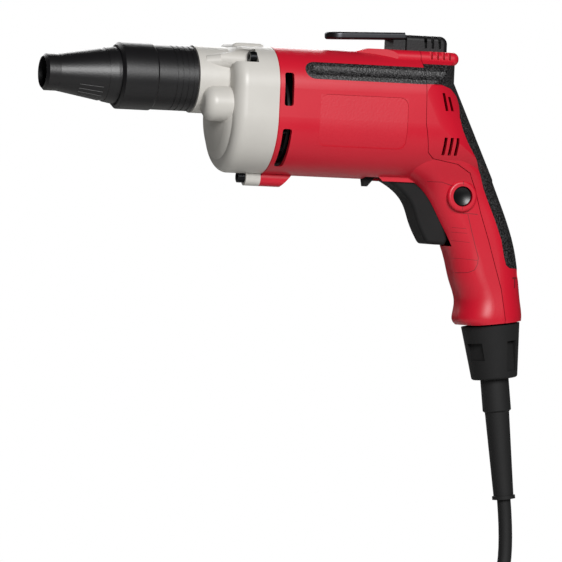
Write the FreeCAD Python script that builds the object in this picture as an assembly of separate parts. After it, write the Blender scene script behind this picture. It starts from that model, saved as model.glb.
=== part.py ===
import FreeCAD, Part
import math
import os

# Corded drywall screwdriver. Lengths are in millimetres and angles in degrees.
# Pieces are drawn with X running rearwards from the nose tip and Z up from the spindle axis,
# then shifted so that the origin lies in the hand grip. The left side is -Y.

V = FreeCAD.Vector
X_DIR = V(1, 0, 0)
Y_DIR = V(0, 1, 0)
Z_DIR = V(0, 0, 1)
SIDES = (-1, 1)

# Place of the hand grip
grip_from_nose = 268.0
grip_below_spindle = 80.0

# Clearances
overrun = 1.0
fit_gap = 0.04
seat_gap = 0.02
free_gap = 0.35
seam_gap = 0.3
end_gap = 0.6

# Gears
gear_module = 1.0
pinion_teeth = 8
gear_teeth = 32
pressure_angle = 25.0
gear_addendum = 0.75
gear_dedendum = 1.2
pinion_addendum = 1.0
pinion_dedendum = 1.0
flank_backlash = 0.12
gear_width = 10.0
pinion_width = 12.0
motor_drop = gear_module * (pinion_teeth + gear_teeth) / 2

# Nose cone and depth collar
nose_bore_radius = 9.0
nose_bore_length = 14.0
nose_tip_radius = 10.8
nose_tip_chamfer = 1.6
nose_land = 8.7
nose_cone_length = 42.0
nose_end_radius = 16.7
nose_tail_length = 13.5
nose_wall = 2.4
nose_band_from_end = 5.0
nose_band_width = 3.0
nose_band_depth = 0.35
nose_rib_count = 4
nose_rib_spread = 40.0
nose_rib_length = 14.0
nose_rib_from_tip = 20.0
nose_rib_size = 0.35
collar_front = 44.0
collar_radius = 19.6
collar_front_length = 21.0
collar_rear_radius = 19.0
collar_rear_length = 25.0
collar_chamfer = 1.6
collar_step = 1.0
collar_groove_count = 4
collar_groove_pitch = 3.4
collar_groove_width = 0.8
collar_groove_depth = 0.3

# Gear case
spigot_length = 30.0
spigot_radius = 15.6
neck_radius = 19.8
case_wall = 3.0
chamber_radius = 17.5
dome_reach = 16.6
dome_inset = 2.5
band_length = 26.0
band_round = 7.0
crown_length = 20.0
crown_half_width = 13.0
crown_rise = 1.6
crown_round = 3.0
crown_setback = 3.0
boss_radius = 10.4
boss_inset = 16.0
boss_drop = 13.8
boss_length = 29.0
boss_round = 6.5
upper_screw_inset = 12.0
upper_screw_rise = 14.2
lower_screw_outset = 2.0
ear_radius = 5.0
seat_setback = 12.0
ear_length = 9.0
lug_length = 19.0
lug_slant = 3.5
screw_shank_radius = 2.0
screw_head_radius = 3.4
screw_head_height = 4.0
screw_grip = 26.0
screw_socket_share = 0.5
channel_radius = 4.6
screw_boss_radius = 5.5
channel_length = 20.0
channel_floor = 2.9
channel_ceiling = 3.8
ridge_setback = 40.0
ridge_front_radius = 3.5
ridge_front_offset = 13.0
ridge_front_rise = 10.5
ridge_rear_radius = 6.5
ridge_rear_inset = 14.5
ridge_rear_rise = 13.0

# Barrel of the housing
barrel_radius = 34.0
barrel_corner = 24.0
barrel_top = 21.0
barrel_length = 90.0
housing_wall = 2.8
parting_groove_width = 0.5
parting_groove_depth = 0.6
tail_length = 75.0
back_setback_share = 0.367532468
back_slope = 0.48
back_side_margin = 0.05
back_flat = 7.05
back_upright_share = 0.335064935
back_upright_from = 3.0

# Spindle and clutch
spindle_radius = 5.0
bushing_radius = 9.0
bushing_length = 24.0
bushing_setback = 2.0
holder_front = 20.0
holder_length = 37.5
holder_radius = 6.6
hex_across_flats = 6.45
hex_depth = 14.0
magnet_radius = 2.8
magnet_length = 5.0
holder_groove_width = 2.0
holder_groove_depth = 0.8
flange_radius = 10.0
flange_thickness = 3.0
dog_count = 3
dog_angle = 36.0
dog_inner_radius = 7.2
spindle_dog_length = 4.4
gear_dog_length = 3.0
pilot_radius = 3.0
washer_thickness = 1.0
washer_radius = 6.4
clutch_wire = 1.0
gear_hub_radius = 6.0
gear_hub_length = 13.5

# Bearings and motor
bearing_outer = 9.5
bearing_width = 6.0
motor_shaft_radius = 3.5
plate_thickness = 7.0
plate_setback = 2.0
fan_clearance = 7.0
fan_hub_radius = 8.0
fan_back = 1.6
fan_width = 8.0
fan_blades = 13
fan_blade_thickness = 1.4
fan_gap = 3.5
baffle_thickness = 2.0
baffle_bore_share = 0.704
stator_clearance = 6.0
stator_bore_share = 0.5714
stator_length = 39.0
stator_setback = 18.0
pole_half_angle = 58.0
coil_slack = 4.0
yoke_thickness = 5.0
air_gap = 0.5
core_length = 35.0
core_slots = 12
slot_width_share = 0.194
slot_depth_share = 0.387
winding_inset = 1.5
winding_length = 6.5
commutator_radius = 10.0
commutator_length = 14.0
commutator_gap = 2.5
commutator_slots = 24
commutator_slot_width = 0.5
commutator_slot_depth = 0.8
brush_height = 6.0
brush_width = 9.0
brush_length_share = 0.590163934
holder_wall = 1.4
holder_clearance = 4.2
carrier_thickness = 2.5
rear_bearing_setback = 4.0
bulkhead_wall = 1.5
pinion_lead = 1.0
case_length = 44.4
dome_setback = 15.2
rib_width = 6.0
rib_inset = 3.0

# Handle: shares of its drop, its reach behind the barrel and its half width, from the top down
handle_drop = 138.0
handle_reach = 77.0
handle_half_width = 20.0
handle_level_shares = (0.217, 0.290, 0.348, 0.406, 0.543, 0.688, 0.812, 0.899, 0.949, 1.0)
handle_front_shares = (-0.143, -0.143, -0.104, 0.052, 0.235, 0.374, 0.442, 0.492, 0.484, 0.513)
handle_back_shares = (0.558, 0.623, 0.682, 0.734, 0.844, 0.929, 0.965, 0.987, 1.0, 0.974)
handle_width_shares = (1.5, 1.36, 1.18, 1.0, 0.91, 0.9, 0.93, 0.97, 1.0, 0.95)
handle_roundness_share = 0.86
handle_end_rise = 1.4
handle_end_x = 56.0

# Seam between the housing and the rear cover, as shares of the handle's reach and drop
seam_x_shares = (0.0, 0.019, 0.065, 0.117, 0.325, 0.442, 0.513, 0.566, 0.649, 0.761, 0.800, 0.805)
seam_drop_shares = (-0.290, 0.145, 0.268, 0.293, 0.312, 0.348, 0.420, 0.514, 0.641, 0.839, 0.971, 1.159)

# Rail along the top
rail_lead = 39.0
rail_tail = 25.3
rail_top = 23.0
rail_bottom = 15.0
rail_half_width = 22.5
rail_front_half_width = 12.0
rail_round = 3.8
rail_ramp = 9.0
rail_taper = 28.0
notch_count = 4
notch_pitch = 3.75
notch_width = 1.8
notch_depth = 3.0
notch_height = 4.8
notch_from_end = 6.0

# Side grooves and rubber grips
groove_radius = 8.4
groove_height = 11.0
groove_outset = 2.0
groove_setback = 14.0
rubber_thickness = 1.9
rubber_top = 15.3
groove_backing = 2.4
border_x_shares = (0.0, 0.147, 0.240, 0.305, 0.323, 0.318, 0.343, 0.388, 0.478,
                   0.535, 0.579, 0.686, 0.752, 0.779, 0.800, 0.835, 0.935)
border_drop_shares = (-0.024, -0.024, -0.010, 0.021, 0.058, 0.111, 0.164, 0.216, 0.294,
                      0.348, 0.410, 0.536, 0.626, 0.698, 0.735, 0.747, 0.749)

# Vents
side_vent_setback = 6.0
side_vent_width = 5.6
upper_vent_top = 6.0
upper_vent_height = 19.5
lower_vent_top = -27.0
lower_vent_height = 22.0
cover_vent_width = 1.9
high_vent_count = 2
high_vent_setback = 12.7
high_vent_pitch = 4.1
high_vent_top = -1.4
high_vent_height = 10.5
high_vent_step = 2.1
high_vent_lean = 2.2
low_vent_count = 3
low_vent_setback = 14.8
low_vent_pitch = 3.85
low_vent_top = -27.6
low_vent_height = 10.4
low_vent_lean = -0.2
vent_depth = 20.0

# Panel on each side of the barrel
panel_setback = 25.5
panel_length = 54.6
panel_top = -5.5
panel_bottom = -36.0
panel_depth = 0.5
panel_round = 5.0

# Trigger, reversing lever and lock button
trigger_travel = 6.0
trigger_half_width = 9.6
trigger_lead = 14.0
trigger_depth = 41.0
trigger_height = 34.8
trigger_x_shares = (0.03, 0.231, 0.353, 0.431, 0.520, 0.618, 0.690, 0.96, 1.0, 0.854, 0.744)
trigger_drop_shares = (0.0, 0.135, 0.264, 0.397, 0.667, 0.905, 1.04, 1.05, 0.955, 0.322, 0.0)
trigger_finger_points = 7
trigger_round = 2.4
trigger_heel_round = 2.0
trigger_toe_round = 3.0
trigger_gap = 0.5
lip_lead = 20.0
lip_ramp = 4.0
lip_length = 30.0
lip_drop = 0.3
lip_thickness = 1.0
lip_height = 8.0
trigger_spring_drop = 21.2
trigger_spring_radius = 3.2
trigger_pocket_depth = 4.0
switch_gap = 2.0
switch_length = 20.0
switch_drop = 15.2
switch_height = 24.0
switch_half_width = 11.0
lever_pivot_setback = 8.0
lever_pivot_radius = 1.6
lever_hub_radius = 3.2
lever_length = 33.5
lever_tip_length = 7.0
lever_tip_height = 5.0
lever_tip_front_share = 0.12
lever_tip_flat_share = 0.4
lever_gap = 1.2
lever_thickness = 2.3
lever_half_width = 2.6
lever_swing = 11.0
lever_pad = 4.0
lever_pad_half = 6.5
button_setback = 31.0
button_drop = 7.2
button_radius = 5.7
button_length = 4.4
button_face = 20.6
button_dish = 1.0
button_boss_radius = 9.2
button_boss_face = 21.6
button_boss_round = 1.5
button_cup_floor = 12.7
button_floor_thickness = 1.8
spring_wire = 0.7

# Belt hook
hook_length = 47.5
hook_lead = 4.5
hook_gap = 5.0
hook_bar_height = 4.4
hook_half_width = 8.0
hook_round = 1.4
hook_post_length = 7.5
hook_tilt = 2.2
hook_pivot_from_tip = 12.0
base_length = 26.0
base_height = 9.4
base_half_width = 11.0
base_round = 3.0
base_groove_count = 3
base_groove_pitch = 4.4
base_groove_width = 1.9
base_groove_depth = 4.0
base_groove_from_end = 4.6
hook_screw_length = 14.0

# Cover screws
cover_screw_radius = 1.7
cover_screw_head = 3.3
cover_screw_head_height = 2.6
cover_screw_length = 26.0
cover_boss_radius = 4.6
lower_cover_screw_drop = 106.5
lower_cover_screw_share = 0.870129870
lower_cover_screw_offset = 9.0
upper_cover_screw_drop = 28.0
upper_cover_screw_offset = 13.0
upper_cover_screw_share = 0.448051948
upper_cover_screw_length = 39.0

# Cord end: inlet, lock nut and strain relief along one leaning axis
cord_lean = 7.4
cord_axis_setback = 59.6
inlet_radius = 12.5
inlet_depth = 20.0
inlet_stub_radius = 11.2
inlet_stub_length = 13.0
nut_top_radius = 17.5
nut_end_radius = 13.7
nut_length = 32.2
nut_thread_depth = 14.5
nut_rim_round = 1.6
nut_pocket_count = 4
nut_turn_share = 0.317
nut_pocket_width = 11.5
nut_pocket_height = 10.6
nut_slot_width = 7.5
nut_slot_height = 18.0
nut_pocket_depth = 2.4
nut_pocket_from_top = 10.0
relief_head_radius = 8.5
relief_head_length = 38.9
relief_neck_radius = 7.3
relief_tip_radius = 6.0
relief_length = 92.1
relief_flange_radius = 6.9
relief_flange_length = 2.0
lead_radius = 1.3
lead_offset = 2.2

# Cord
cord_diameter = 8.2
cord_pitch = 8.8
coil_radius = 66.0
coil_start_angle = -48.0
coil_top_turns = 3.5
coil_climb_turns = 0.5
coil_steps_per_turn = 4
coil_full_turns = 7
coil_samples_per_turn = 48
coil_nudge_share = 0.02
cord_arc_share = 0.45
arc_flatness_share = 0.00001
cord_tail = 46.0

# Route of the free cord from the strain relief to the coil, measured from the hand grip
cord_route = (
    (30.14, 0.0, -160.83),
    (33.49, 0.0, -186.61),
    (28.90, -4.0, -215.0),
    (17.00, -14.7, -233.7),
    (0.66, -29.4, -242.3),
    (-15.70, -44.2, -242.3),
)

# Cord tie
tie_width = 12.0
tie_thickness = 1.2
tie_gap = 0.4

# Plug
plug_length = 36.0
plug_half_width = 12.0
plug_half_height = 7.0
plug_round = 4.0
plug_neck_length = 18.0
plug_neck_radius = 6.2
blade_length = 17.0
blade_spacing = 12.7
blade_thickness = 1.5
blade_width = 6.4

# Places along X that follow from the sizes above
collar_rear = collar_front + collar_front_length + collar_rear_length
neck_front = collar_rear + end_gap
spigot_front = neck_front - spigot_length
parting_x = neck_front + case_length
dome_x = parting_x - dome_setback
plate_rear = parting_x - plate_setback
plate_front = plate_rear - plate_thickness
gear_front = plate_rear - end_gap - gear_hub_length - gear_width
pinion_front = gear_front - pinion_lead
dogs_front = gear_front - gear_dog_length
flange_rear = dogs_front - end_gap - spindle_dog_length
flange_front = flange_rear - flange_thickness
chamber_front = flange_front - end_gap
holder_rear = holder_front + holder_length
fan_front = plate_rear + fan_gap
fan_rear = fan_front + fan_width
stator_start = parting_x + stator_setback
stator_end = stator_start + stator_length
core_start = stator_start + (stator_length - core_length) / 2
core_end = core_start + core_length
commutator_start = core_end + winding_length + commutator_gap
commutator_end = commutator_start + commutator_length
rear_bearing_start = commutator_end + rear_bearing_setback
rear_bearing_end = rear_bearing_start + bearing_width
barrel_end = parting_x + barrel_length
trigger_front = barrel_end - trigger_lead
trigger_top = barrel_radius + motor_drop + trigger_gap
switch_front = trigger_front + trigger_depth + trigger_travel + switch_gap
switch_top = trigger_top + switch_drop
lever_pivot_x = barrel_end + lever_pivot_setback
lever_tip_x = lever_pivot_x - lever_length
lever_bottom = trigger_top - lever_gap
button_x = barrel_end + button_setback
button_z = -trigger_top - button_drop
hook_bar_end = barrel_end - hook_lead
hook_tip_x = hook_bar_end - hook_length
hook_bar_bottom = rail_top + hook_gap
post_start = hook_bar_end - hook_post_length
rail_start = barrel_end - rail_lead
rail_end = barrel_end + rail_tail
base_start = hook_bar_end + seat_gap
base_end = base_start + base_length
motor_z = -motor_drop
fan_radius = barrel_radius - fan_clearance
baffle_bore = fan_radius * baffle_bore_share
stator_radius = barrel_radius - stator_clearance
stator_bore = stator_radius * stator_bore_share
core_radius = stator_bore - air_gap
slot_width = core_radius * slot_width_share
slot_depth = core_radius * slot_depth_share
winding_radius = core_radius - winding_inset
holder_reach = barrel_radius - housing_wall - commutator_radius - holder_clearance
brush_length = (holder_reach - holder_wall - free_gap) * brush_length_share
back_round = barrel_radius - back_flat + back_side_margin
back_setback = handle_reach * back_setback_share
back_upright_setback = handle_reach * back_upright_share
dome_radius = barrel_radius - dome_inset
boss_offset = barrel_radius - boss_inset
upper_screw_offset = barrel_radius - upper_screw_inset
lower_screw_drop = motor_drop + barrel_radius + lower_screw_outset
ridge_rear_offset = barrel_radius - ridge_rear_inset
groove_reach = barrel_radius + groove_outset
pinion_radius = gear_module * pinion_teeth / 2 + pinion_addendum

pieces = {}


def keep(name, *shapes):
    """Keeps a piece under its name, shifted so that the hand grip is the origin."""
    solids = []
    for shape in shapes:
        solids.extend(shape.Solids)
    whole = solids[0] if len(solids) == 1 else Part.makeCompound(solids)
    whole = whole.copy()
    whole.translate(V(-grip_from_nose, 0, grip_below_spindle))
    pieces[name] = whole


def rod(radius, start, end, z=0.0, y=0.0):
    """Round bar along X."""
    return Part.makeCylinder(radius, end - start, V(start, y, z), X_DIR)


def ring(outer, inner, start, end, z=0.0, y=0.0):
    """Tube along X."""
    return rod(outer, start, end, z, y).cut(rod(inner, start - overrun, end + overrun, z, y))


def block(x0, x1, y0, y1, z0, z1):
    """Box between two corners."""
    return Part.makeBox(x1 - x0, y1 - y0, z1 - z0, V(x0, y0, z0))


def turned(outline, z=0.0):
    """Solid of revolution about a line along X, from (x, radius) points."""
    points = [V(x, 0, z + radius) for x, radius in outline]
    face = Part.Face(Part.makePolygon(points + points[:1]))
    return face.revolve(V(0, 0, z), X_DIR, 360)


def prism(outline, y0, y1):
    """Plate between two planes of Y, from (x, z) points."""
    points = [V(x, y0, z) for x, z in outline]
    face = Part.Face(Part.makePolygon(points + points[:1]))
    return face.extrude(V(0, y1 - y0, 0))


def joined(first, *others):
    """One solid out of several that overlap."""
    return first.fuse(list(others)).removeSplitter()


def mirrored(shape):
    """The same shape on the other side."""
    return shape.mirror(V(0, 0, 0), Y_DIR)


def largest(shape):
    """The biggest solid of a shape."""
    return max(shape.Solids, key=lambda solid: solid.Volume)


def pill(radius, start, end, z, y):
    """Round bar along X with ball ends."""
    ends = [Part.makeSphere(radius, V(x, y, z)) for x in (start + radius, end - radius)]
    return rod(radius, start + radius, end - radius, z, y).fuse(ends)


def rounded_box(x0, x1, y0, y1, z0, z1, radius):
    """Box with all its edges rounded."""
    box = block(x0, x1, y0, y1, z0, z1)
    return box.makeFillet(radius, box.Edges)


def turned_about_x(shape, angle, z=0.0):
    """A copy turned about a line along X."""
    copy = shape.copy()
    copy.rotate(V(0, 0, z), X_DIR, angle)
    return copy


def gear_outline(teeth, addendum, dedendum, phase, x, z):
    """Closed wire of an involute gear about a line along X, with its first tooth at the phase angle."""
    pitch = gear_module * teeth / 2
    slope = math.radians(pressure_angle)
    base = pitch * math.cos(slope)
    tip = pitch + addendum
    root = pitch - dedendum
    half = math.pi / (2 * teeth) - flank_backlash / pitch + math.tan(slope) - slope
    steps = 5
    flank = []
    for step in range(steps):
        radius = base + (tip - base) * step / (steps - 1)
        roll = math.acos(base / radius)
        flank.append((radius, half - math.tan(roll) + roll))
    flank.insert(0, (root, half))
    points = []
    for tooth in range(teeth):
        middle = phase + 2 * math.pi * tooth / teeth
        side = [(radius, middle - angle) for radius, angle in flank]
        side += [(radius, middle + angle) for radius, angle in reversed(flank)]
        points += [V(x, radius * math.cos(angle), z + radius * math.sin(angle)) for radius, angle in side]
    return Part.makePolygon(points + points[:1])


def dog_ring(start, end, phase):
    """Driving dogs of the clutch: sectors between the dog radius and the flange radius."""
    dogs = []
    for index in range(dog_count):
        sector = Part.makeCylinder(flange_radius, end - start, V(start, 0, 0), X_DIR, dog_angle)
        sector = sector.cut(rod(dog_inner_radius, start - overrun, end + overrun))
        dogs.append(turned_about_x(sector, phase + 360 * index / dog_count))
    return dogs


def barrel_wire(x, inset, half_width=barrel_radius, corner=barrel_corner, top=barrel_top):
    """Section of the barrel: a round bottom about the motor axis, upright sides and rounded shoulders."""
    r = half_width - inset
    c = corner - inset
    crown = top - inset
    shoulder = crown - c
    flat = r - c
    diagonal = math.sqrt(0.5)
    corner_y = flat + c * diagonal
    corner_z = shoulder + c * diagonal
    edges = [
        Part.LineSegment(V(x, -r, motor_z), V(x, -r, shoulder)),
        Part.Arc(V(x, -r, shoulder), V(x, -corner_y, corner_z), V(x, -flat, crown)),
        Part.LineSegment(V(x, -flat, crown), V(x, flat, crown)),
        Part.Arc(V(x, flat, crown), V(x, corner_y, corner_z), V(x, r, shoulder)),
        Part.LineSegment(V(x, r, shoulder), V(x, r, motor_z)),
        Part.Arc(V(x, r, motor_z), V(x, r * diagonal, motor_z - r * diagonal), V(x, 0, motor_z - r)),
        Part.Arc(V(x, 0, motor_z - r), V(x, -r * diagonal, motor_z - r * diagonal), V(x, -r, motor_z)),
    ]
    return Part.Wire([edge.toShape() for edge in edges])


def barrel_slab(start, end, inset):
    """Length of the barrel section between two places along X."""
    return Part.Face(barrel_wire(start, inset)).extrude(V(end - start, 0, 0))


def handle_wire(index, inset):
    """Rounded section of the handle at one level."""
    z = -handle_drop * handle_level_shares[index]
    front = barrel_end + handle_reach * handle_front_shares[index] + inset
    back = barrel_end + handle_reach * handle_back_shares[index] - inset
    half = handle_half_width * handle_width_shares[index] - inset
    r = half * handle_roundness_share
    k = r * (1 - math.sqrt(0.5))
    flat = half - r
    edges = [
        Part.LineSegment(V(front, flat, z), V(front, -flat, z)),
        Part.Arc(V(front, -flat, z), V(front + k, -half + k, z), V(front + r, -half, z)),
        Part.LineSegment(V(front + r, -half, z), V(back - r, -half, z)),
        Part.Arc(V(back - r, -half, z), V(back - k, -half + k, z), V(back, -flat, z)),
        Part.LineSegment(V(back, -flat, z), V(back, flat, z)),
        Part.Arc(V(back, flat, z), V(back - k, half - k, z), V(back - r, half, z)),
        Part.LineSegment(V(back - r, half, z), V(front + r, half, z)),
        Part.Arc(V(front + r, half, z), V(front + k, half - k, z), V(front, flat, z)),
    ]
    return Part.Wire([edge.toShape() for edge in edges])


def back_bar(inset, rear, along, out):
    """Long bar whose rear face is flat in the middle and rounds forward to both sides."""
    foot = 2 * handle_drop
    radius = back_round - inset
    wide = back_flat + radius

    def place(inward, y):
        return rear - out * inward + Y_DIR * y - along * foot

    half_depth = radius * (1 - math.sqrt(0.5))
    half_wide = back_flat + radius * math.sqrt(0.5)
    edges = [
        Part.LineSegment(place(0, -back_flat), place(0, back_flat)),
        Part.Arc(place(0, back_flat), place(half_depth, half_wide), place(radius, wide)),
        Part.LineSegment(place(radius, wide), place(foot, wide)),
        Part.LineSegment(place(foot, wide), place(foot, -wide)),
        Part.LineSegment(place(foot, -wide), place(radius, -wide)),
        Part.Arc(place(radius, -wide), place(half_depth, -half_wide), place(0, -back_flat)),
    ]
    profile = Part.Face(Part.Wire([edge.toShape() for edge in edges]))
    return profile.extrude(along * (2 * foot))


def back_limit(inset):
    """Space in front of the back: slanted from the handle up, then upright below the rail."""
    slant = math.sqrt(1 + back_slope ** 2)
    out = V(1, 0, back_slope) * (1 / slant)
    along = V(-back_slope, 0, 1) * (1 / slant)
    slanted = back_bar(inset, V(barrel_end + back_setback, 0, 0) - out * inset, along, out)
    upper = back_bar(inset, V(barrel_end + back_upright_setback - inset, 0, 0), Z_DIR, X_DIR)
    foot = 2 * handle_drop
    below = block(-foot, 2 * foot, -2 * foot, 2 * foot, -2 * foot, back_upright_from)
    return slanted.fuse(upper.cut(below))


def body_form(inset):
    """Barrel, rounded tail and handle as one solid, drawn in by the inset."""
    barrel = barrel_slab(parting_x, barrel_end + tail_length, inset).common(back_limit(inset))
    handle = Part.makeLoft([handle_wire(i, inset) for i in range(len(handle_level_shares))], True, False)
    whole = barrel.fuse(handle)
    lean = math.tan(math.radians(cord_lean))
    foot = handle_drop - handle_end_rise - inset
    span = handle_reach
    centre = barrel_end + handle_end_x
    below = [(centre - span, -foot - lean * span), (centre + span, -foot + lean * span)]
    below += [(centre + span, -2 * handle_drop), (centre - span, -2 * handle_drop)]
    return whole.cut(prism(below, -span, span))


def make_nose():
    """Hollow nose cone whose tail slides inside the depth collar, and the collar that turns on the neck."""
    tail_end = nose_cone_length + nose_tail_length
    band_end = nose_cone_length - nose_band_from_end
    slope = (nose_end_radius - nose_tip_radius) / (nose_cone_length - nose_land)
    band_radius = nose_end_radius - slope * nose_band_from_end
    band_start_radius = band_radius - slope * nose_band_width
    inner_tail = nose_end_radius - nose_wall
    cone = turned([
        (0, nose_bore_radius),
        (0, nose_tip_radius - nose_tip_chamfer),
        (nose_tip_chamfer, nose_tip_radius),
        (nose_land, nose_tip_radius),
        (band_end - nose_band_width, band_start_radius),
        (band_end - nose_band_width, band_start_radius - nose_band_depth),
        (band_end, band_radius - nose_band_depth),
        (band_end, band_radius),
        (nose_cone_length, nose_end_radius),
        (tail_end, nose_end_radius),
        (tail_end, inner_tail),
        (nose_cone_length, inner_tail),
        (nose_bore_length, nose_bore_radius),
    ])
    rib_end = nose_rib_from_tip + nose_rib_length
    rib_slope = math.degrees(math.atan(slope))
    rib_radius = nose_tip_radius + slope * (nose_rib_from_tip - nose_land)
    ribs = []
    for index in range(nose_rib_count):
        rib = rod(nose_rib_size, nose_rib_from_tip, rib_end, -rib_radius)
        rib.rotate(V(nose_rib_from_tip, 0, -rib_radius), Y_DIR, rib_slope)
        angle = nose_rib_spread * (index / (nose_rib_count - 1) - 0.5)
        for side in SIDES:
            ribs.append(turned_about_x(rib, angle + side * nose_rib_spread))
    keep("nose_cone", joined(cone, *ribs))

    step = collar_front + collar_front_length
    lip = nose_end_radius + free_gap
    bore = spigot_radius + free_gap
    outline = [
        (collar_front, lip),
        (collar_front, collar_radius - collar_chamfer),
        (collar_front + collar_chamfer, collar_radius),
        (step, collar_radius),
        (step + collar_step, collar_rear_radius),
    ]
    first = collar_rear - collar_groove_count * collar_groove_pitch
    for index in range(collar_groove_count):
        start = first + index * collar_groove_pitch
        bottom = collar_rear_radius - collar_groove_depth
        outline += [(start, collar_rear_radius), (start, bottom)]
        outline += [(start + collar_groove_width, bottom), (start + collar_groove_width, collar_rear_radius)]
    shoulder = spigot_front - end_gap
    outline += [(collar_rear, collar_rear_radius), (collar_rear, bore), (shoulder, bore), (shoulder, lip)]
    keep("depth_collar", turned(outline))


def screw(x, y, z, grip, radius, head_radius, head_height, direction=1):
    """Socket head screw along X, with the underside of its head at x."""
    shank = rod(radius, 0, grip)
    head = rod(head_radius, -head_height, 0)
    socket = rod(head_radius * screw_socket_share, -head_height - overrun, -head_height * screw_socket_share)
    whole = joined(head.cut(socket), shank)
    if direction < 0:
        whole.rotate(V(0, 0, 0), Z_DIR, 180)
    whole.translate(V(x, y, z))
    return whole


def case_screw_places():
    """Head seat, offset and height of each screw that holds the gear case to the housing."""
    places = [(parting_x - seat_setback, side * upper_screw_offset, upper_screw_rise) for side in SIDES]
    return places + [(parting_x - ear_length, 0.0, -lower_screw_drop)]


def make_gear_case():
    """Cast gear case with its neck, dome, rear band, side boss, screw channels and ear."""
    seat_x = parting_x - seat_setback
    band = barrel_slab(parting_x - band_length, parting_x, 0)
    front_edges = [edge for edge in band.Edges if edge.BoundBox.XMax < parting_x - band_length / 2]
    band = band.makeFillet(band_round, front_edges)
    apex = V(dome_x - dome_reach, 0, motor_z)
    centre = V(dome_x, 0, motor_z)
    rim = V(dome_x, 0, motor_z + dome_radius)
    sides = [Part.LineSegment(rim, centre).toShape(), Part.LineSegment(centre, apex).toShape()]
    dome = Part.Face(Part.Wire(biarc(apex, Z_DIR, rim, X_DIR) + sides)).revolve(centre, X_DIR, 360)
    core = rod(dome_radius, dome_x, parting_x, motor_z)
    neck = rod(neck_radius, neck_front, parting_x)
    spigot = rod(spigot_radius, spigot_front, neck_front)
    crown_end = parting_x - crown_setback
    crown = rounded_box(crown_end - crown_length, crown_end, -crown_half_width, crown_half_width, 0,
                        barrel_top + crown_rise, crown_round)
    boss_start = parting_x - band_length / 2 - boss_length
    boss_end = parting_x - band_length / 4
    boss = rod(boss_radius, boss_start, boss_end, -boss_drop, -boss_offset)
    boss_rim = [edge for edge in boss.Edges if edge.BoundBox.XMax < boss_start + overrun]
    boss = boss.makeFillet(boss_round, boss_rim)
    ear = rod(ear_radius, parting_x - ear_length, parting_x, -lower_screw_drop)
    small_end = V(parting_x - ridge_setback, -ridge_front_offset, ridge_front_rise)
    large_end = V(seat_x, -ridge_rear_offset, ridge_rear_rise)
    small = Part.Wire([Part.makeCircle(ridge_front_radius, small_end, X_DIR)])
    large = Part.Wire([Part.makeCircle(ridge_rear_radius, large_end, X_DIR)])
    ridge = Part.makeLoft([small, large], True, True)
    case = joined(core, band, dome, neck, spigot, crown, boss, ear, ridge, mirrored(ridge))

    inside = barrel_slab(plate_front - seat_gap, parting_x + overrun, case_wall)
    for head_x, y, z in case_screw_places():
        pillar = rod(screw_boss_radius, plate_front - 2 * case_wall, parting_x + 2 * overrun, z, y)
        inside = inside.cut(pillar)
    chamber = rod(chamber_radius, chamber_front, plate_front)
    pinion_room = rod(pinion_radius + free_gap, pinion_front - free_gap, plate_front, motor_z)
    seat_end = spigot_front + bushing_setback + bushing_length
    seat = rod(bushing_radius + seat_gap, spigot_front - overrun, seat_end)
    passage = rod(spindle_radius + free_gap, spigot_front, chamber_front + overrun)
    case = case.cut([inside, chamber, pinion_room, seat, passage])
    for head_x, y, z in case_screw_places():
        hole = rod(screw_shank_radius + fit_gap, head_x - overrun, parting_x + overrun, z, y)
        case = case.cut(hole)
    ear_front = parting_x - ear_length
    head_room = screw_head_radius + free_gap
    case = case.cut(rod(head_room, ear_front - channel_length, ear_front, -lower_screw_drop))
    for side in SIDES:
        y0, y1 = sorted((side * upper_screw_offset, side * 2 * barrel_radius))
        mouth = block(seat_x - channel_length, seat_x, y0, y1, upper_screw_rise - channel_floor,
                      upper_screw_rise + channel_ceiling)
        channel = rod(channel_radius, seat_x - channel_length, seat_x, upper_screw_rise,
                      side * upper_screw_offset)
        case = case.cut([channel, mouth])
    keep("gear_case", case)
    keep("gear_case_screws", *[screw(head_x, y, z, screw_grip, screw_shank_radius, screw_head_radius,
                                     screw_head_height) for head_x, y, z in case_screw_places()])


def make_bearing_plate():
    """Diaphragm between the gears and the motor, with a seat for each front bearing."""
    plate = barrel_slab(plate_front, plate_rear, case_wall + seat_gap)
    for head_x, y, z in case_screw_places():
        pillar = rod(screw_boss_radius + seat_gap, plate_front - overrun, plate_rear + overrun, z, y)
        plate = plate.cut(pillar)
    seat = bearing_outer + seat_gap
    plate = plate.cut([
        rod(seat, plate_front - overrun, plate_front + bearing_width),
        rod(gear_hub_radius + free_gap, plate_front, plate_rear + overrun),
        rod(seat, plate_rear - bearing_width, plate_rear + overrun, motor_z),
        rod(pinion_radius + free_gap, plate_front - overrun, plate_rear, motor_z),
    ])
    keep("bearing_plate", plate.Solids[0])


def bearing(start, shaft_radius, z):
    """Ball bearing drawn as one ring with a groove on each face between its races."""
    inner = shaft_radius + fit_gap
    whole = ring(bearing_outer, inner, start, start + bearing_width, z)
    third = (bearing_outer - inner) / 3
    groove = bearing_width / 8
    for x in (start, start + bearing_width - groove):
        whole = whole.cut(ring(bearing_outer - third, inner + third, x, x + groove, z))
    return whole


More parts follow.
